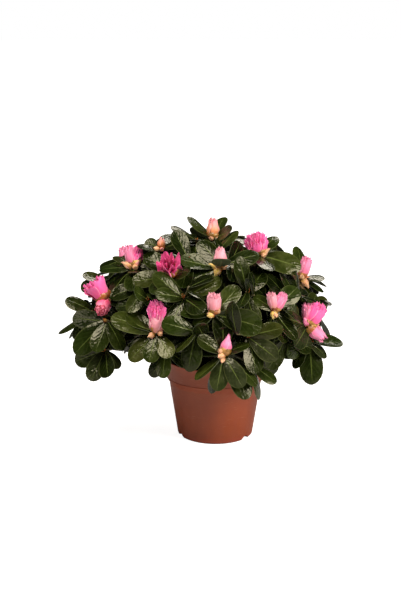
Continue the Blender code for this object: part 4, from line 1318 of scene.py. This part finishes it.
# the soil's grid and its roughness, and the crumbs of peat and bark on it
crumbs = {
    "seed": 5,
    "rings": 34,
    "steps": 120,
    "rough": 0.00022,
    "swell": 0.0012,
    "sink": 0.0004,
    "count": 1500,
    "sizes": (0.0006, 0.0022),
    "barkShare": 0.12,
    "wallRoom": 0.0018,
    "trunkRoom": 0.011,
    "uneven": 0.13,
}


def unevenHeight(x, y):
    return (np.sin(x * 210 + 1.3) * np.cos(y * 190 + 0.4) * 0.5
            + np.sin(x * 470 + y * 330) * 0.28 + np.cos(y * 610 - x * 380) * 0.22)


def soilBody(rng, wallRadius):
    # the surface in rings, and the sides down to the pot's floor
    rings, steps = crumbs["rings"], crumbs["steps"]
    radius = wallRadius * np.linspace(0, 1, rings + 1)[1:]
    angle = 2 * np.pi * np.arange(steps) / steps
    x = radius[:, None] * np.cos(angle)
    y = radius[:, None] * np.sin(angle)
    edge = np.clip((wallRadius - radius) / 0.006, 0, 1)[:, None]
    z = (soilTop - crumbs["sink"] + unevenHeight(x, y) * crumbs["swell"] * edge
         + rng.normal(0, crumbs["rough"], x.shape) * edge)
    rimFoot = pot["height"] - pot["rimBand"]
    side = [(wallRadius - 0.0006, rimFoot + 0.0035), (pot["wallTopRadius"] - 0.0021, rimFoot - 0.008),
            (pot["wallFootRadius"] - 0.0021, pot["floor"] + 0.0034),
            (pot["wallFootRadius"] - 0.006, pot["floor"] + seatGap)]
    points = [[0.0, 0.0, soilTop + 0.0002]]
    points += np.stack([x, y, z], axis=2).reshape(-1, 3).tolist()
    for r, h in side:
        points += np.stack([r * np.cos(angle), r * np.sin(angle), np.full(steps, h)], axis=1).tolist()
    points.append([0.0, 0.0, pot["floor"] + seatGap])
    turn = np.arange(steps)
    after = (turn + 1) % steps
    caps = [np.stack([np.zeros(steps, int), 1 + turn, 1 + after], axis=1)]
    quads = []
    for ring in range(rings + len(side) - 1):
        low, high = 1 + ring * steps, 1 + (ring + 1) * steps
        quads.append(np.stack([low + turn, high + turn, high + after, low + after], axis=1))
    last = 1 + (rings + len(side) - 1) * steps
    caps.append(np.stack([last + after, last + turn, np.full(steps, len(points) - 1)], axis=1))
    return points, caps, quads


def soilCrumbs(rng, wallRadius):
    # each crumb is a small uneven lump on the surface
    base = np.array([(1, 0, 0), (-1, 0, 0), (0, 1, 0), (0, -1, 0), (0, 0, 1), (0, 0, -1)], float)
    lump = np.array([(4, 0, 2), (4, 2, 1), (4, 1, 3), (4, 3, 0), (5, 2, 0), (5, 1, 2), (5, 3, 1), (5, 0, 3)])
    fine, fineFaces = splitLump(base, lump)
    lumps = []
    for _ in range(crumbs["count"]):
        r = (wallRadius - crumbs["wallRoom"]) * math.sqrt(rng.random())
        a = rng.random() * 2 * math.pi
        if r < crumbs["trunkRoom"]:
            continue
        px, py = r * math.cos(a), r * math.sin(a)
        isBark = rng.random() < crumbs["barkShare"]
        size = rng.uniform(*crumbs["sizes"]) * (1.15 if isBark else 0.85)
        across = rng.uniform(0.5, 1.0)
        upward = rng.uniform(0.35, 0.8) if isBark else rng.uniform(0.6, 1)
        uneven = 1 + rng.normal(0, crumbs["uneven"], (len(fine), 1))
        shape = fine * uneven * np.array([1.0, across, upward]) * size
        turnZ, tip = rng.uniform(0, 2 * math.pi), rng.uniform(-0.5, 0.5)
        c, s = math.cos(turnZ), math.sin(turnZ)
        shape = shape @ np.array([[c, s, 0], [-s, c, 0], [0, 0, 1]])
        c, s = math.cos(tip), math.sin(tip)
        shape = shape @ np.array([[1, 0, 0], [0, c, s], [0, -s, c]])
        h = soilTop - crumbs["sink"] + float(unevenHeight(px, py)) * crumbs["swell"]
        shade = 1.0 if isBark else rng.uniform(0, 0.25)
        lumps.append((shape + np.array([px, py, h + size * 0.25]), shade))
    return lumps, fineFaces


def makeSoil():
    rng = np.random.default_rng(crumbs["seed"])
    wallRadius = pot["rimRadius"] - pot["wall"] - seatGap - 0.0003
    points, caps, quads = soilBody(rng, wallRadius)
    lumps, lumpFaces = soilCrumbs(rng, wallRadius)
    tone = [0.0] * len(points)
    triangles = [np.concatenate(caps)]
    for shape, shade in lumps:
        triangles.append(lumpFaces + len(points))
        points += shape.tolist()
        tone += [shade] * len(shape)
    piece = meshPiece("soilFill", np.array(points), [np.concatenate(triangles), np.concatenate(quads)],
                      [soilLook], attributes={"crumbTone": ("FLOAT", np.array(tone))}, sharpAngle=60)
    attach(piece, "root")
    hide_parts("soil")
    print("soil with", len(lumps), "crumbs")


def splitLump(points, faces):
    # each triangle split in four, with the new points pushed out to the round
    points = [tuple(p) for p in points]
    lookup = {p: i for i, p in enumerate(points)}
    made = []

    def between(a, b):
        p = np.array(points[a]) + np.array(points[b])
        p = tuple(p / np.linalg.norm(p))
        if p not in lookup:
            lookup[p] = len(points)
            points.append(p)
        return lookup[p]

    for a, b, c in faces:
        ab, bc, ca = between(a, b), between(b, c), between(c, a)
        made += [(a, ab, ca), (ab, b, bc), (ca, bc, c), (ab, bc, ca)]
    return np.array(points), np.array(made)


makeSoil()

# sides, steps and relief of the bark, how high its knots stand, and where it counts as old
bark = {
    "trunkSides": 40,
    "boughSides": 14,
    "twigSides": 9,
    "twigletSides": 6,
    "step": 0.0012,
    "trunkStep": 0.0009,
    "twigletStep": 0.003,
    "relief": 0.075,
    "twigRelief": 0.06,
    "twigletRelief": 0.05,
    "knots": (0.04, 0.10, 0.22, 0.15),
    "rootDepth": 0.0025,
    "rootRadius": 0.0108,
    "youngRadius": 0.0012,
    "seatDepth": 0.0035,
    "seatSwell": (1.45, 1.2),
    "stemShare": 0.95,
    "tipShare": 0.72,
}


def smoothLine(points, radii, step):
    # a curve through the limb's points, with even steps along it
    pts = np.array([tuple(p) for p in points], float)
    rad = np.array(radii, float)
    ends = np.vstack([2 * pts[0] - pts[1], pts, 2 * pts[-1] - pts[-2]])
    line, size = [], []
    for i in range(len(pts) - 1):
        p0, p1, p2, p3 = ends[i:i + 4]
        count = max(2, int(np.linalg.norm(p2 - p1) / step))
        for k in range(count):
            t = k / count
            line.append(0.5 * (2 * p1 + (p2 - p0) * t + (2 * p0 - 5 * p1 + 4 * p2 - p3) * t * t
                               + (3 * p1 - p0 - 3 * p2 + p3) * t ** 3))
            size.append(rad[i] + (rad[i + 1] - rad[i]) * t)
    line.append(pts[-1])
    size.append(rad[-1])
    return np.array(line), np.array(size)


def limbArrays(points, radii, sides, relief, seed, knots=0.0, step=None):
    line, size = smoothLine(points, radii, step or bark["step"])
    rng = np.random.default_rng(seed)
    phase = rng.uniform(0, 2 * np.pi, 6)
    angle = 2 * np.pi * np.arange(sides) / sides
    tangent = np.gradient(line, axis=0)
    tangent /= np.linalg.norm(tangent, axis=1, keepdims=True)
    across = Vector(tangent[0]).orthogonal().normalized()
    rings = []
    for i in range(len(line)):
        t = Vector(tangent[i])
        across = (across - t * across.dot(t)).normalized()
        other = t.cross(across)
        rings.append((np.array(across), np.array(other)))
    run = np.concatenate([[0], np.cumsum(np.linalg.norm(np.diff(line, axis=0), axis=1))])
    ups = np.array([r[0] for r in rings])
    outs = np.array([r[1] for r in rings])
    a = angle[None, :]
    z = run[:, None] * 1000
    wave = (np.sin(3 * a + z * 0.10 + phase[0]) * 0.45 + np.sin(5 * a - z * 0.16 + phase[1]) * 0.35
            + np.sin(8 * a + z * 0.35 + phase[2]) * 0.22 + rng.normal(0, 0.22, (len(line), sides)))
    rings = size[:, None] * (1 + relief * wave)
    if knots:
        rings *= 1 + knots * np.exp(-((np.mod(z + phase[3] * 3, 6.5) - 3) / 0.8) ** 2)
    grid = (line[:, None, :] + ups[:, None, :] * (np.cos(a) * rings)[..., None]
            + outs[:, None, :] * (np.sin(a) * rings)[..., None])
    vertices = grid.reshape(-1, 3)
    k = np.arange(sides)
    n = (k + 1) % sides
    strips = [np.stack([i * sides + k, i * sides + n, (i + 1) * sides + n, (i + 1) * sides + k], axis=1)
              for i in range(len(line) - 1)]
    quads = np.concatenate(strips)
    first, last = len(vertices), len(vertices) + 1
    vertices = np.vstack([vertices, line[0] - tangent[0] * size[0] * 0.3,
                          line[-1] + tangent[-1] * size[-1] * 0.5])
    top = (len(line) - 1) * sides
    caps = np.concatenate([np.stack([np.full(sides, first), n, k], axis=1),
                           np.stack([np.full(sides, last), top + k, top + n], axis=1)])
    sizes = np.concatenate([np.repeat(size, sides), [size[0], size[-1]]])
    return vertices, quads, caps, sizes


def joinLimbs(name, limbs, ageOf):
    points, quads, caps, ages = [], [], [], []
    start = 0
    for vertices, fours, threes, sizes in limbs:
        points.append(vertices)
        quads.append(fours + start)
        caps.append(threes + start)
        ages.append(ageOf(sizes))
        start += len(vertices)
    return meshPiece(name, np.vstack(points), [np.concatenate(quads), np.concatenate(caps)], [barkLook],
                     attributes={"barkAge": ("FLOAT", np.concatenate(ages))}, sharpAngle=80)


def makeLimbs():
    trunkKnots, boughKnots, twigKnots, twigletKnots = bark["knots"]
    line = [Vector((0.0, 0.0, soilTop - bark["rootDepth"]))] + trunkLine()
    radii = [bark["rootRadius"]] + trunkRadii()
    limbs = [limbArrays(line, radii, bark["trunkSides"], bark["relief"], 1, trunkKnots, bark["trunkStep"])]
    for number, mass in enumerate(masses):
        bough = mass["bough"]
        points, sizes = list(bough["points"]), list(bough["radii"])
        inward = points[0] - bough["out"] * bark["seatDepth"]
        points = [inward] + points + [mass["stem"][0][1]]
        sizes = [sizes[0] * swell for swell in bark["seatSwell"]] + sizes[1:] + [crown["stemRadius"]]
        limbs.append(limbArrays(points, sizes, bark["boughSides"], bark["relief"], 10 + number, boughKnots))
    piece = joinLimbs("trunkAndBoughs", limbs,
                      lambda size: np.clip((size - bark["youngRadius"]) / 0.0010, 0, 1))
    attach(piece, "root")
    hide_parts("trunk", *("bough_" + mass["name"] for mass in masses))
    limbs = []
    for number, mass in enumerate(masses):
        for k, shoot in enumerate(mass["shoots"]):
            points, sizes = shoot["twig"]
            sizes = [crown["stemRadius"] * bark["stemShare"], *sizes[1:-1],
                     crown["tipRadius"] * bark["tipShare"]]
            limbs.append(limbArrays(points, sizes, bark["twigSides"], bark["twigRelief"],
                                    100 + number * 7 + k, twigKnots))
        for k, (points, sizes) in enumerate(mass["twiglets"]):
            limbs.append(limbArrays(points, sizes, bark["twigletSides"], bark["twigletRelief"],
                                    900 + number * 17 + k, twigletKnots, bark["twigletStep"]))
    piece = joinLimbs("twigs", limbs,
                      lambda size: np.clip((size - bark["youngRadius"]) / 0.0012, 0, 1) * 0.35)
    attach(piece, "root")
    print("trunk, boughs and", len(limbs), "twigs")


makeLimbs()

# leaves: grid, thickness, painted shade towards each leaf's root, and the greens that are dealt out shoot by
# shoot
leafShape = {
    "seed": 77,
    "rows": 13,
    "columns": 7,
    "thick": 0.00030,
    "rib": 0.0008,
    "petiole": 0.0007,
    "paintedRootShade": 0.35,
    "paintedShadeReach": 0.62,
}
greens = {
    "deep": (0.0054, 0.0101, 0.0010),
    "dark": (0.0108, 0.0162, 0.0020),
    "mid": (0.0189, 0.0268, 0.0038),
    "olive": (0.0363, 0.0421, 0.0065),
    "grey": (0.0261, 0.0298, 0.0098),
}


def dealGreen(leaf, rng):
    # lighter greens for a shoot's upper leaves, deeper and darker ones further in as painted shade
    draw = rng.random()
    if leaf["whorl"] == 3:
        name, shade = ("deep" if draw < 0.6 else "dark"), 0.55
    elif leaf["whorl"] == 2:
        name, shade = ("deep" if draw < 0.25 else "dark" if draw < 0.70 else "mid"), 0.80
    else:
        name = "dark" if draw < 0.34 else "mid" if draw < 0.74 else "grey" if draw < 0.86 else "olive"
        shade = 1.0
    base = np.array(greens[name]) * shade
    return base * rng.uniform(0.80, 1.20) * np.array([rng.uniform(0.86, 1.06), 1.0, rng.uniform(0.85, 1.15)])


def leafSheets(leaves):
    rows, columns = leafShape["rows"], leafShape["columns"]
    t = (0.5 - 0.5 * np.cos(np.pi * np.arange(rows) / (rows - 1)))[None, :, None]
    x = np.linspace(-1, 1, columns)
    s = (np.sign(x) * np.abs(x) ** 0.85)[None, None, :]
    rng = random.Random(leafShape["seed"])

    def column(values):
        return np.array(values, float)[:, None, None]

    def drawn(low, high):
        return column([rng.uniform(low, high) for _ in leaves])

    length, width, droop, cup = (column([leaf[key] for leaf in leaves])
                                 for key in ("length", "width", "droop", "cup"))
    tip = drawn(1.9, 2.9)
    wedge = drawn(0.62, 0.90)
    blunt = drawn(0.50, 0.66)
    deep = drawn(0.030, 0.062)
    wave = drawn(0.0, 0.022)
    phase = drawn(0, 6.28)
    curl = drawn(-0.02, 0.12)
    sway = drawn(-0.05, 0.05)
    own = column([rng.random() for _ in leaves])
    peak = (wedge / (wedge + tip * blunt)) ** (1 / tip)
    top = peak ** wedge * (1 - peak ** tip) ** blunt
    outline = t ** wedge * np.maximum(1 - t ** tip, 0) ** blunt / top
    half = width * 0.5 * outline + leafShape["petiole"] * (1 - t) ** 3 + 0.00022
    bulge = np.sin(np.pi * np.clip(t, 0, 1) ** 0.75) ** 0.8
    lift = length * (cup * deep * (0.62 - s * s) * bulge - 0.010 * np.exp(-(s / 0.16) ** 2) * bulge
                     + wave * np.sin(phase + 7.0 * t + 1.4 * s) * s * np.abs(s) * bulge
                     - curl * np.maximum(t - 0.62, 0) ** 2 * 2.2 - droop * t * t)
    root, along, normal = (np.array([tuple(leaf[key]) for leaf in leaves])[:, None, None, :]
                           for key in ("root", "along", "normal"))
    side = np.cross(along, normal)
    grid = (root + along * (length * t)[..., None] * np.ones((1, 1, columns, 1))
            + side * (half * s + sway * length * t * t)[..., None] + normal * lift[..., None])
    shape = grid.shape[:3]
    thick = np.broadcast_to(leafShape["thick"] * (1 + 1.2 * (1 - t) ** 2), shape)
    below = np.broadcast_to(leafShape["rib"] * np.exp(-(s / 0.14) ** 2) * (1 - t) ** 1.1, shape)
    place = np.stack(np.broadcast_arrays(t, s, own), axis=3)
    return grid, thick, below, place


def makeLeaves(name, group):
    leaves = [leaf for mass in group for leaf in mass["leaves"]]
    grid, thick, below, place = leafSheets(leaves)
    colours = []
    for leaf in leaves:
        rng = random.Random("green-%s-%.5f" % (leaf["shoot"], leaf["look"]))
        colours.append(dealGreen(leaf, rng))
    # painted shade: each leaf's colour darkens towards its root
    t = place[..., 0:1]
    lit = np.clip(t / leafShape["paintedShadeReach"], 0, 1) ** 1.3
    shade = leafShape["paintedRootShade"] + (1 - leafShape["paintedRootShade"]) * lit
    colours = np.array(colours)[:, None, None, :] * shade
    colours = np.concatenate([colours, np.ones((*grid.shape[:3], 1))], axis=3)
    points, quads, part = slabs(grid, thick, below)
    piece = meshPiece(name, points, quads, [leafUpper, leafUnder], (part > 0).astype(int),
                      {"bladePlace": ("FLOAT_VECTOR", doubled(place.reshape(len(leaves), -1, 3))),
                       "bladeColour": ("FLOAT_COLOR", doubled(colours.reshape(len(leaves), -1, 4)))})
    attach(piece, "root")
    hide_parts(*("foliage_" + mass["name"] for mass in group))
    print(name, len(leaves), "leaves,", len(quads) * 2, "triangles")


frontGroup = [mass for mass in masses if mass["front"]]
backGroup = [mass for mass in masses if not mass["front"]]
leftNames = [mass["name"] for mass in frontGroup[3:9]]
makeLeaves("leavesLeft", frontGroup[3:9])
makeLeaves("leavesRight", frontGroup[:3] + frontGroup[9:])
makeLeaves("leavesBackLow", backGroup[:5])
makeLeaves("leavesBackHigh", backGroup[5:])

# petals: for each kind the layers from outside in, as count, half width in degrees, reach as a share
# of the height, radius shares at foot, middle and top, and ruffle
bloomLayers = {
    "small": ((5, 58, 0.98, (0.55, 1.00, 0.18), 0.00), (3, 60, 1.02, (0.3, 0.72, 0.12), 0.02)),
    "bud": ((5, 50, 0.96, (0.42, 1.00, 0.26), 0.03), (4, 55, 1.03, (0.3, 0.78, 0.14), 0.03)),
    "half": ((5, 46, 0.84, (0.40, 0.94, 0.98), 0.08), (6, 38, 0.94, (0.32, 0.78, 0.86), 0.16),
             (6, 36, 1.00, (0.22, 0.55, 0.58), 0.20), (4, 42, 0.98, (0.12, 0.28, 0.26), 0.22)),
    "open": ((5, 40, 0.58, (0.36, 0.92, 1.06), 0.14), (7, 30, 0.76, (0.32, 0.86, 1.04), 0.22),
             (8, 28, 0.90, (0.26, 0.70, 0.90), 0.26), (8, 28, 1.00, (0.20, 0.50, 0.66), 0.26),
             (6, 34, 1.02, (0.12, 0.30, 0.38), 0.26)),
    "large": ((5, 52, 0.52, (0.50, 0.98, 0.94), 0.04), (5, 46, 0.62, (0.40, 0.90, 0.86), 0.07),
              (7, 30, 0.78, (0.30, 0.82, 1.02), 0.24), (8, 28, 0.90, (0.26, 0.70, 0.90), 0.26),
              (8, 28, 0.98, (0.20, 0.50, 0.62), 0.26), (5, 36, 1.00, (0.12, 0.28, 0.32), 0.26)),
    "tight": ((5, 46, 0.88, (0.42, 0.96, 0.90), 0.07), (6, 40, 0.98, (0.32, 0.80, 0.78), 0.14),
              (6, 38, 1.02, (0.22, 0.50, 0.48), 0.20)),
    "plump": ((5, 50, 0.90, (0.46, 1.00, 0.66), 0.04), (6, 42, 0.98, (0.36, 0.86, 0.60), 0.08),
              (5, 40, 1.03, (0.24, 0.56, 0.42), 0.14)),
    "frill": ((5, 42, 0.70, (0.34, 0.80, 1.14), 0.20), (6, 34, 0.88, (0.28, 0.64, 0.94), 0.26),
              (6, 34, 1.00, (0.18, 0.42, 0.54), 0.26)),
    "rose": ((5, 52, 0.88, (0.42, 0.98, 0.92), 0.04), (5, 48, 0.96, (0.34, 0.78, 0.66), 0.08),
             (5, 44, 1.00, (0.22, 0.52, 0.42), 0.10), (4, 46, 1.00, (0.12, 0.28, 0.20), 0.12)),
    "funnel": ((5, 46, 0.90, (0.30, 0.78, 1.06), 0.06), (5, 42, 1.00, (0.26, 0.66, 0.86), 0.10),
               (6, 38, 0.98, (0.20, 0.48, 0.60), 0.12), (4, 42, 0.94, (0.12, 0.26, 0.30), 0.14)),
    "wide": ((5, 30, 0.98, (0.26, 0.70, 1.26), 0.04), (5, 28, 1.02, (0.22, 0.56, 0.90), 0.06),
             (4, 30, 0.92, (0.16, 0.34, 0.44), 0.10)),
}
# the colours of a bloom at its foot, middle and edge
tones = {
    "hot": ((0.70, 0.14, 0.20), (0.98, 0.11, 0.36), (1.00, 0.18, 0.50)),
    "pink": ((0.72, 0.24, 0.20), (0.88, 0.20, 0.38), (0.92, 0.30, 0.50)),
    "pale": ((0.74, 0.30, 0.17), (0.84, 0.31, 0.36), (0.90, 0.42, 0.50)),
    "peach": ((0.52, 0.19, 0.03), (0.78, 0.32, 0.11), (0.84, 0.34, 0.38)),
    "cream": ((0.34, 0.14, 0.03), (0.62, 0.33, 0.12), (0.80, 0.48, 0.27)),
    "gold": ((0.30, 0.16, 0.02), (0.62, 0.42, 0.07), (0.74, 0.56, 0.18)),
    # the dark magenta tone is painted shade, for the inner petals of the second pair and the upper left bloom
    "magenta": ((0.38, 0.03, 0.09), (0.56, 0.03, 0.16), (0.70, 0.07, 0.27)),
    "red": ((0.70, 0.07, 0.12), (1.00, 0.06, 0.20), (1.00, 0.26, 0.38)),
}
# tones of the outer two layers and of the inner ones; in the second pair the inner petals take the dark
# magenta tone as painted shade inside the bloom
tonePairs = {"tipped": ("pale", "hot"), "shaded": ("hot", "magenta")}
massTones = {
    "top": ("peach",),
    "top_right": ("hot", "cream"),
    "upper_front": ("pale", "gold", "gold"),
    "top_left": ("pink", "hot", "gold", "cream", "gold", "peach"),
    "upper_left": ("magenta",),
    "left": ("shaded", "red"),
    "front_left": ("tipped",),
    "front": ("pale", "gold"),
    "front_low": ("pink", "cream"),
    "front_right": ("pale", "pink", "gold"),
    "right": ("pink", "cream"),
    "right_low": ("pink", "hot", "pink", "pink", "gold"),
}
backTones = ("pink", "hot", "pale", "pink")
# how far the scales reach up each kind of bloom, and their colours
scaleShares = {"small": 0.48, "bud": 0.52, "plump": 0.45}
scaleTones = ((0.24, 0.058, 0.010), (0.33, 0.095, 0.014), (0.22, 0.115, 0.014), (0.44, 0.230, 0.055))
petalShape = {"rows": 7, "columns": 11, "thick": 0.00026}
scaleShape = {"rows": 5, "columns": 5, "thick": 0.00022}
sheetAngle = 70
# small buds beside each bloom, the resting buds of the other shoots, and the layer that scales take
sideBuds = {"count": 3, "spread": 0.9, "offset": 0.003, "radius": 0.0027, "height": 0.0085}
restingBud = {"radius": 0.0019, "height": 0.0058, "count": 5}
scaleLayer = (42, 1.0, (0.60, 1.05, 0.78), 0.02)
budSink = 0.001
# the seed for the hidden blooms' tones, how far petals twist, and how pointed those of a kind are
bloomSeed = 31
petalTwist = 0.35
petalPoints = {"wide": 0.62}


def petalGrid(form, radius, height, layer, turn, rng, twist, point=0.16):
    # one petal or scale in its bloom's own frame, rows from foot to edge
    spread, reach, (foot, middle, top), ruffle = layer
    rows, columns = form["rows"], form["columns"]
    u = np.linspace(0, 1, rows)[:, None]
    v = np.linspace(-1, 1, columns)[None, :]
    wide = np.radians(spread) * (0.55 + 0.45 * np.sin(np.pi * np.clip(u * 0.8, 0, 1)))
    angle = turn + wide * v + twist * u
    mid = 0.5
    r = np.where(u < mid, foot + (middle - foot) * np.sin(np.pi / 2 * u / mid),
                 middle + (top - middle) * (0.5 - 0.5 * np.cos(np.pi * (u - mid) / (1 - mid))))
    p1, p2, p3 = (rng.uniform(0, 6.28) for _ in range(3))
    beats = rng.uniform(2.2, 3.4)
    edge = u ** 2.5
    r = r * (1 + 0.10 * v) + ruffle * edge * np.sin(beats * math.pi * v + p1)
    r = r + ruffle * 0.5 * edge * np.sin(beats * 1.9 * math.pi * v + p2)
    z = reach * u * rng.uniform(0.94, 1.05) - point * (1 - ruffle * 2) * np.abs(v) ** 1.8 * u ** 3
    z = z + ruffle * 0.50 * edge * np.sin((beats + 0.7) * math.pi * v + p3)
    return np.stack([np.cos(angle) * r * radius, np.sin(angle) * r * radius, z * height], axis=2)


def petalTints(form, tone, rng, inner):
    foot, middle, edge = (np.array(c) for c in tone)
    rows, columns = form["rows"], form["columns"]
    u = np.linspace(0, 1, rows)[:, None, None]
    v = np.abs(np.linspace(-1, 1, columns))[None, :, None]
    lower = foot + (middle - foot) * (u / 0.45)
    upper = middle + (edge - middle) * ((u - 0.45) / 0.55)
    colour = np.where(u < 0.45, lower, upper)
    # painted shade: inner layers and the sides of each petal are darker
    colour = colour * (1 - 0.10 * inner) * rng.uniform(0.86, 1.08) * (1 - 0.06 * v)
    solid = np.ones((rows, columns, 1))
    return np.concatenate([np.clip(colour, 0, 1) * solid, solid], axis=2)


def frameOf(base, axis):
    turn = np.array(axis.to_track_quat("Z", "Y").to_matrix())
    return lambda grid: grid @ turn.T + np.array(base)


def collectBloom(bloom, toneName, sheets, scales):
    rng = random.Random("bloom-%s-%d" % (bloom["shoot"], bloom["order"]))
    place = frameOf(bloom["base"], bloom["axis"])
    start = rng.uniform(0, 6.28)
    for depth, layer in enumerate(bloomLayers[bloom["kind"]]):
        tone = tones[tonePairs[toneName][depth > 1] if toneName in tonePairs else toneName]
        for k in range(layer[0]):
            turn = start + depth * 0.6 + 2 * math.pi * k / layer[0] + rng.uniform(-0.12, 0.12)
            grid = petalGrid(petalShape, bloom["radius"], bloom["height"], layer[1:], turn, rng,
                             petalTwist, petalPoints.get(bloom["kind"], 0.16))
            sheets.append((place(grid), petalTints(petalShape, tone, rng, depth / 3), rng.random()))
    share = scaleShares.get(bloom["kind"], 0.40)
    addScales(place, bloom["radius"] * (0.98 if share > 0.44 else 0.80), bloom["height"] * share,
              6 if bloom["kind"] == "small" else 9, rng, scales)


def addScales(place, radius, height, count, rng, scales):
    for k in range(count):
        turn = 2.4 * k + rng.uniform(-0.2, 0.2)
        grid = petalGrid(scaleShape, radius * rng.uniform(0.92, 1.08), height * rng.uniform(0.6, 1.25),
                         scaleLayer, turn, rng, 0.1)
        tone = scaleTones[rng.randrange(len(scaleTones))]
        pale = tuple(min(1.0, c * 1.35) for c in tone)
        scales.append((place(grid), petalTints(scaleShape, (tone, tone, pale), rng, 0), rng.random()))


def sheetsPiece(name, sheets, look, form):
    grid = np.array([s[0] for s in sheets])
    tint = np.array([s[1] for s in sheets])
    u = np.linspace(0, 1, form["rows"])[None, :, None]
    v = np.linspace(-1, 1, form["columns"])[None, None, :]
    own = np.array([s[2] for s in sheets])[:, None, None]
    spot = np.stack(np.broadcast_arrays(u, v, own), axis=3)
    shape = grid.shape[:3]
    points, quads, _ = slabs(grid, np.full(shape, form["thick"]), np.zeros(shape))
    piece = meshPiece(name, points, quads, [look], None,
                      {"petalPlace": ("FLOAT_VECTOR", doubled(spot.reshape(len(sheets), -1, 3))),
                       "petalColour": ("FLOAT_COLOR", doubled(tint.reshape(len(sheets), -1, 4)))},
                      sheetAngle)
    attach(piece, "root")
    print(name, len(sheets), "sheets,", len(quads) * 2, "triangles")


def collectSideBuds(shoot, own, petals, scales):
    for k in range(sideBuds["count"]):
        out = clockSide(shoot["facing"], own.uniform(0, 360))
        axis = (shoot["facing"] + out * sideBuds["spread"]).normalized()
        small = {"kind": "small", "axis": axis,
                 "base": shoot["tip"] + out * sideBuds["offset"] - shoot["facing"] * budSink,
                 "radius": sideBuds["radius"] * own.uniform(0.8, 1.2),
                 "height": sideBuds["height"] * own.uniform(0.8, 1.25),
                 "shoot": shoot["key"] + "side", "order": k}
        collectBloom(small, own.choice(("cream", "peach", "cream")), petals, scales)


def makeBlooms():
    petalGroups, scales = {"Left": [], "Right": [], "Back": []}, []
    rng = random.Random(bloomSeed)
    for mass in masses:
        side = "Back" if not mass["front"] else "Left" if mass["name"] in leftNames else "Right"
        petals = petalGroups[side]
        dealt = massTones.get(mass["name"])
        for number, bloom in enumerate(mass["blooms"]):
            tone = dealt[min(number, len(dealt) - 1)] if dealt else rng.choice(backTones)
            collectBloom(bloom, tone, petals, scales)
        for shoot in mass["shoots"]:
            own = random.Random("side-%s" % shoot["key"])
            if shoot["blooms"]:
                collectSideBuds(shoot, own, petals, scales)
            else:
                place = frameOf(shoot["tip"] - shoot["facing"] * budSink, shoot["facing"])
                addScales(place, restingBud["radius"], restingBud["height"], restingBud["count"], own, scales)
    for side, petals in petalGroups.items():
        sheetsPiece("petals" + side, petals, petalLook, petalShape)
    sheetsPiece("budScales", scales, scaleLook, scaleShape)


makeBlooms()

# studio: white floor and backdrop, a large soft light at the right front and weaker ones round it
studio = {
    "background": 1.0,
    "fill": 0.018,
    "warmth": (1.0, 0.94, 0.86),
    "floorColour": (0.60, 0.60, 0.60, 1.0),
    "floorRoughness": 0.9,
    "floorSpecular": 0.1,
    "floorReach": 6,
    "floorGlow": (0.90, 1.0),
    "glowReach": (0.4, 1.8),
    "aim": (0, 0, 0.14),
    "key": ((1.25, -0.95, 1.10), 0.78, 39.0),
    "top": ((-0.35, -0.55, 1.50), 0.66, 25.0),
    "left": ((-1.50, -0.60, 0.80), 0.60, 5.0),
    "back": ((0.40, 1.50, 1.60), 0.70, 19.0),
}


def pickForCamera(tree, other, seen):
    # one shader for what the camera sees directly and another for all other light
    rays = nodeOf(tree, "ShaderNodeLightPath")
    pick = nodeOf(tree, "ShaderNodeMixShader")
    for number, socket in enumerate((rays.outputs["Is Camera Ray"], other.outputs[0], seen.outputs[0])):
        plug(tree, pick.inputs[number], socket)
    return pick.outputs[0]


def makeBackground():
    world = bpy.data.worlds.new("studio")
    bpy.context.scene.world = world
    world.use_nodes = True
    tree = world.node_tree
    tree.nodes.clear()
    seen = nodeOf(tree, "ShaderNodeBackground", Color=(1, 1, 1, 1), Strength=studio["background"])
    soft = nodeOf(tree, "ShaderNodeBackground", Color=(1, 1, 1, 1), Strength=studio["fill"])
    out = nodeOf(tree, "ShaderNodeOutputWorld")
    plug(tree, out.inputs[0], pickForCamera(tree, soft, seen))


def makeFloor():
    # a pale floor that takes shadows and glows to white away from the plant
    made, tree, shader = newMaterial("paleFloor")
    shader.inputs["Base Color"].default_value = studio["floorColour"]
    shader.inputs["Roughness"].default_value = studio["floorRoughness"]
    shader.inputs["Specular IOR Level"].default_value = studio["floorSpecular"]
    away = nodeOf(tree, "ShaderNodeVectorMath", {"operation": "LENGTH"})
    plug(tree, away.inputs[0], nodeOf(tree, "ShaderNodeTexCoord").outputs["Object"])
    strength = rangeOf(tree, away.outputs["Value"], *studio["glowReach"], *studio["floorGlow"])
    glow = nodeOf(tree, "ShaderNodeEmission", Color=(1, 1, 1, 1), Strength=strength)
    dark = nodeOf(tree, "ShaderNodeEmission", Color=(1, 1, 1, 1), Strength=0.0)
    both = nodeOf(tree, "ShaderNodeAddShader")
    plug(tree, both.inputs[0], shader.outputs[0])
    plug(tree, both.inputs[1], pickForCamera(tree, dark, glow))
    plug(tree, tree.nodes["Material Output"].inputs[0], both.outputs[0])
    mesh = bpy.data.meshes.new("paleFloor")
    far = studio["floorReach"]
    mesh.from_pydata([(-far, -far, 0), (far, -far, 0), (far, far, 0), (-far, far, 0)], [], [(0, 1, 2, 3)])
    mesh.materials.append(made)
    floor = bpy.data.objects.new("paleFloor", mesh)
    bpy.context.scene.collection.objects.link(floor)


def makeStudio():
    scene = bpy.context.scene
    scene.view_settings.view_transform = "Standard"
    scene.view_settings.look = "None"
    makeBackground()
    makeFloor()
    for name in ("key", "top", "left", "back"):
        place, size, energy = studio[name]
        data = bpy.data.lights.new(name + "Light", "AREA")
        data.shape = "SQUARE"
        data.size = size
        data.energy = energy
        data.color = studio["warmth"]
        light = bpy.data.objects.new(name + "Light", data)
        light.location = place
        aim = Vector(studio["aim"]) - Vector(place)
        light.rotation_euler = aim.to_track_quat("-Z", "Y").to_euler()
        scene.collection.objects.link(light)
    print("studio set")


makeStudio()
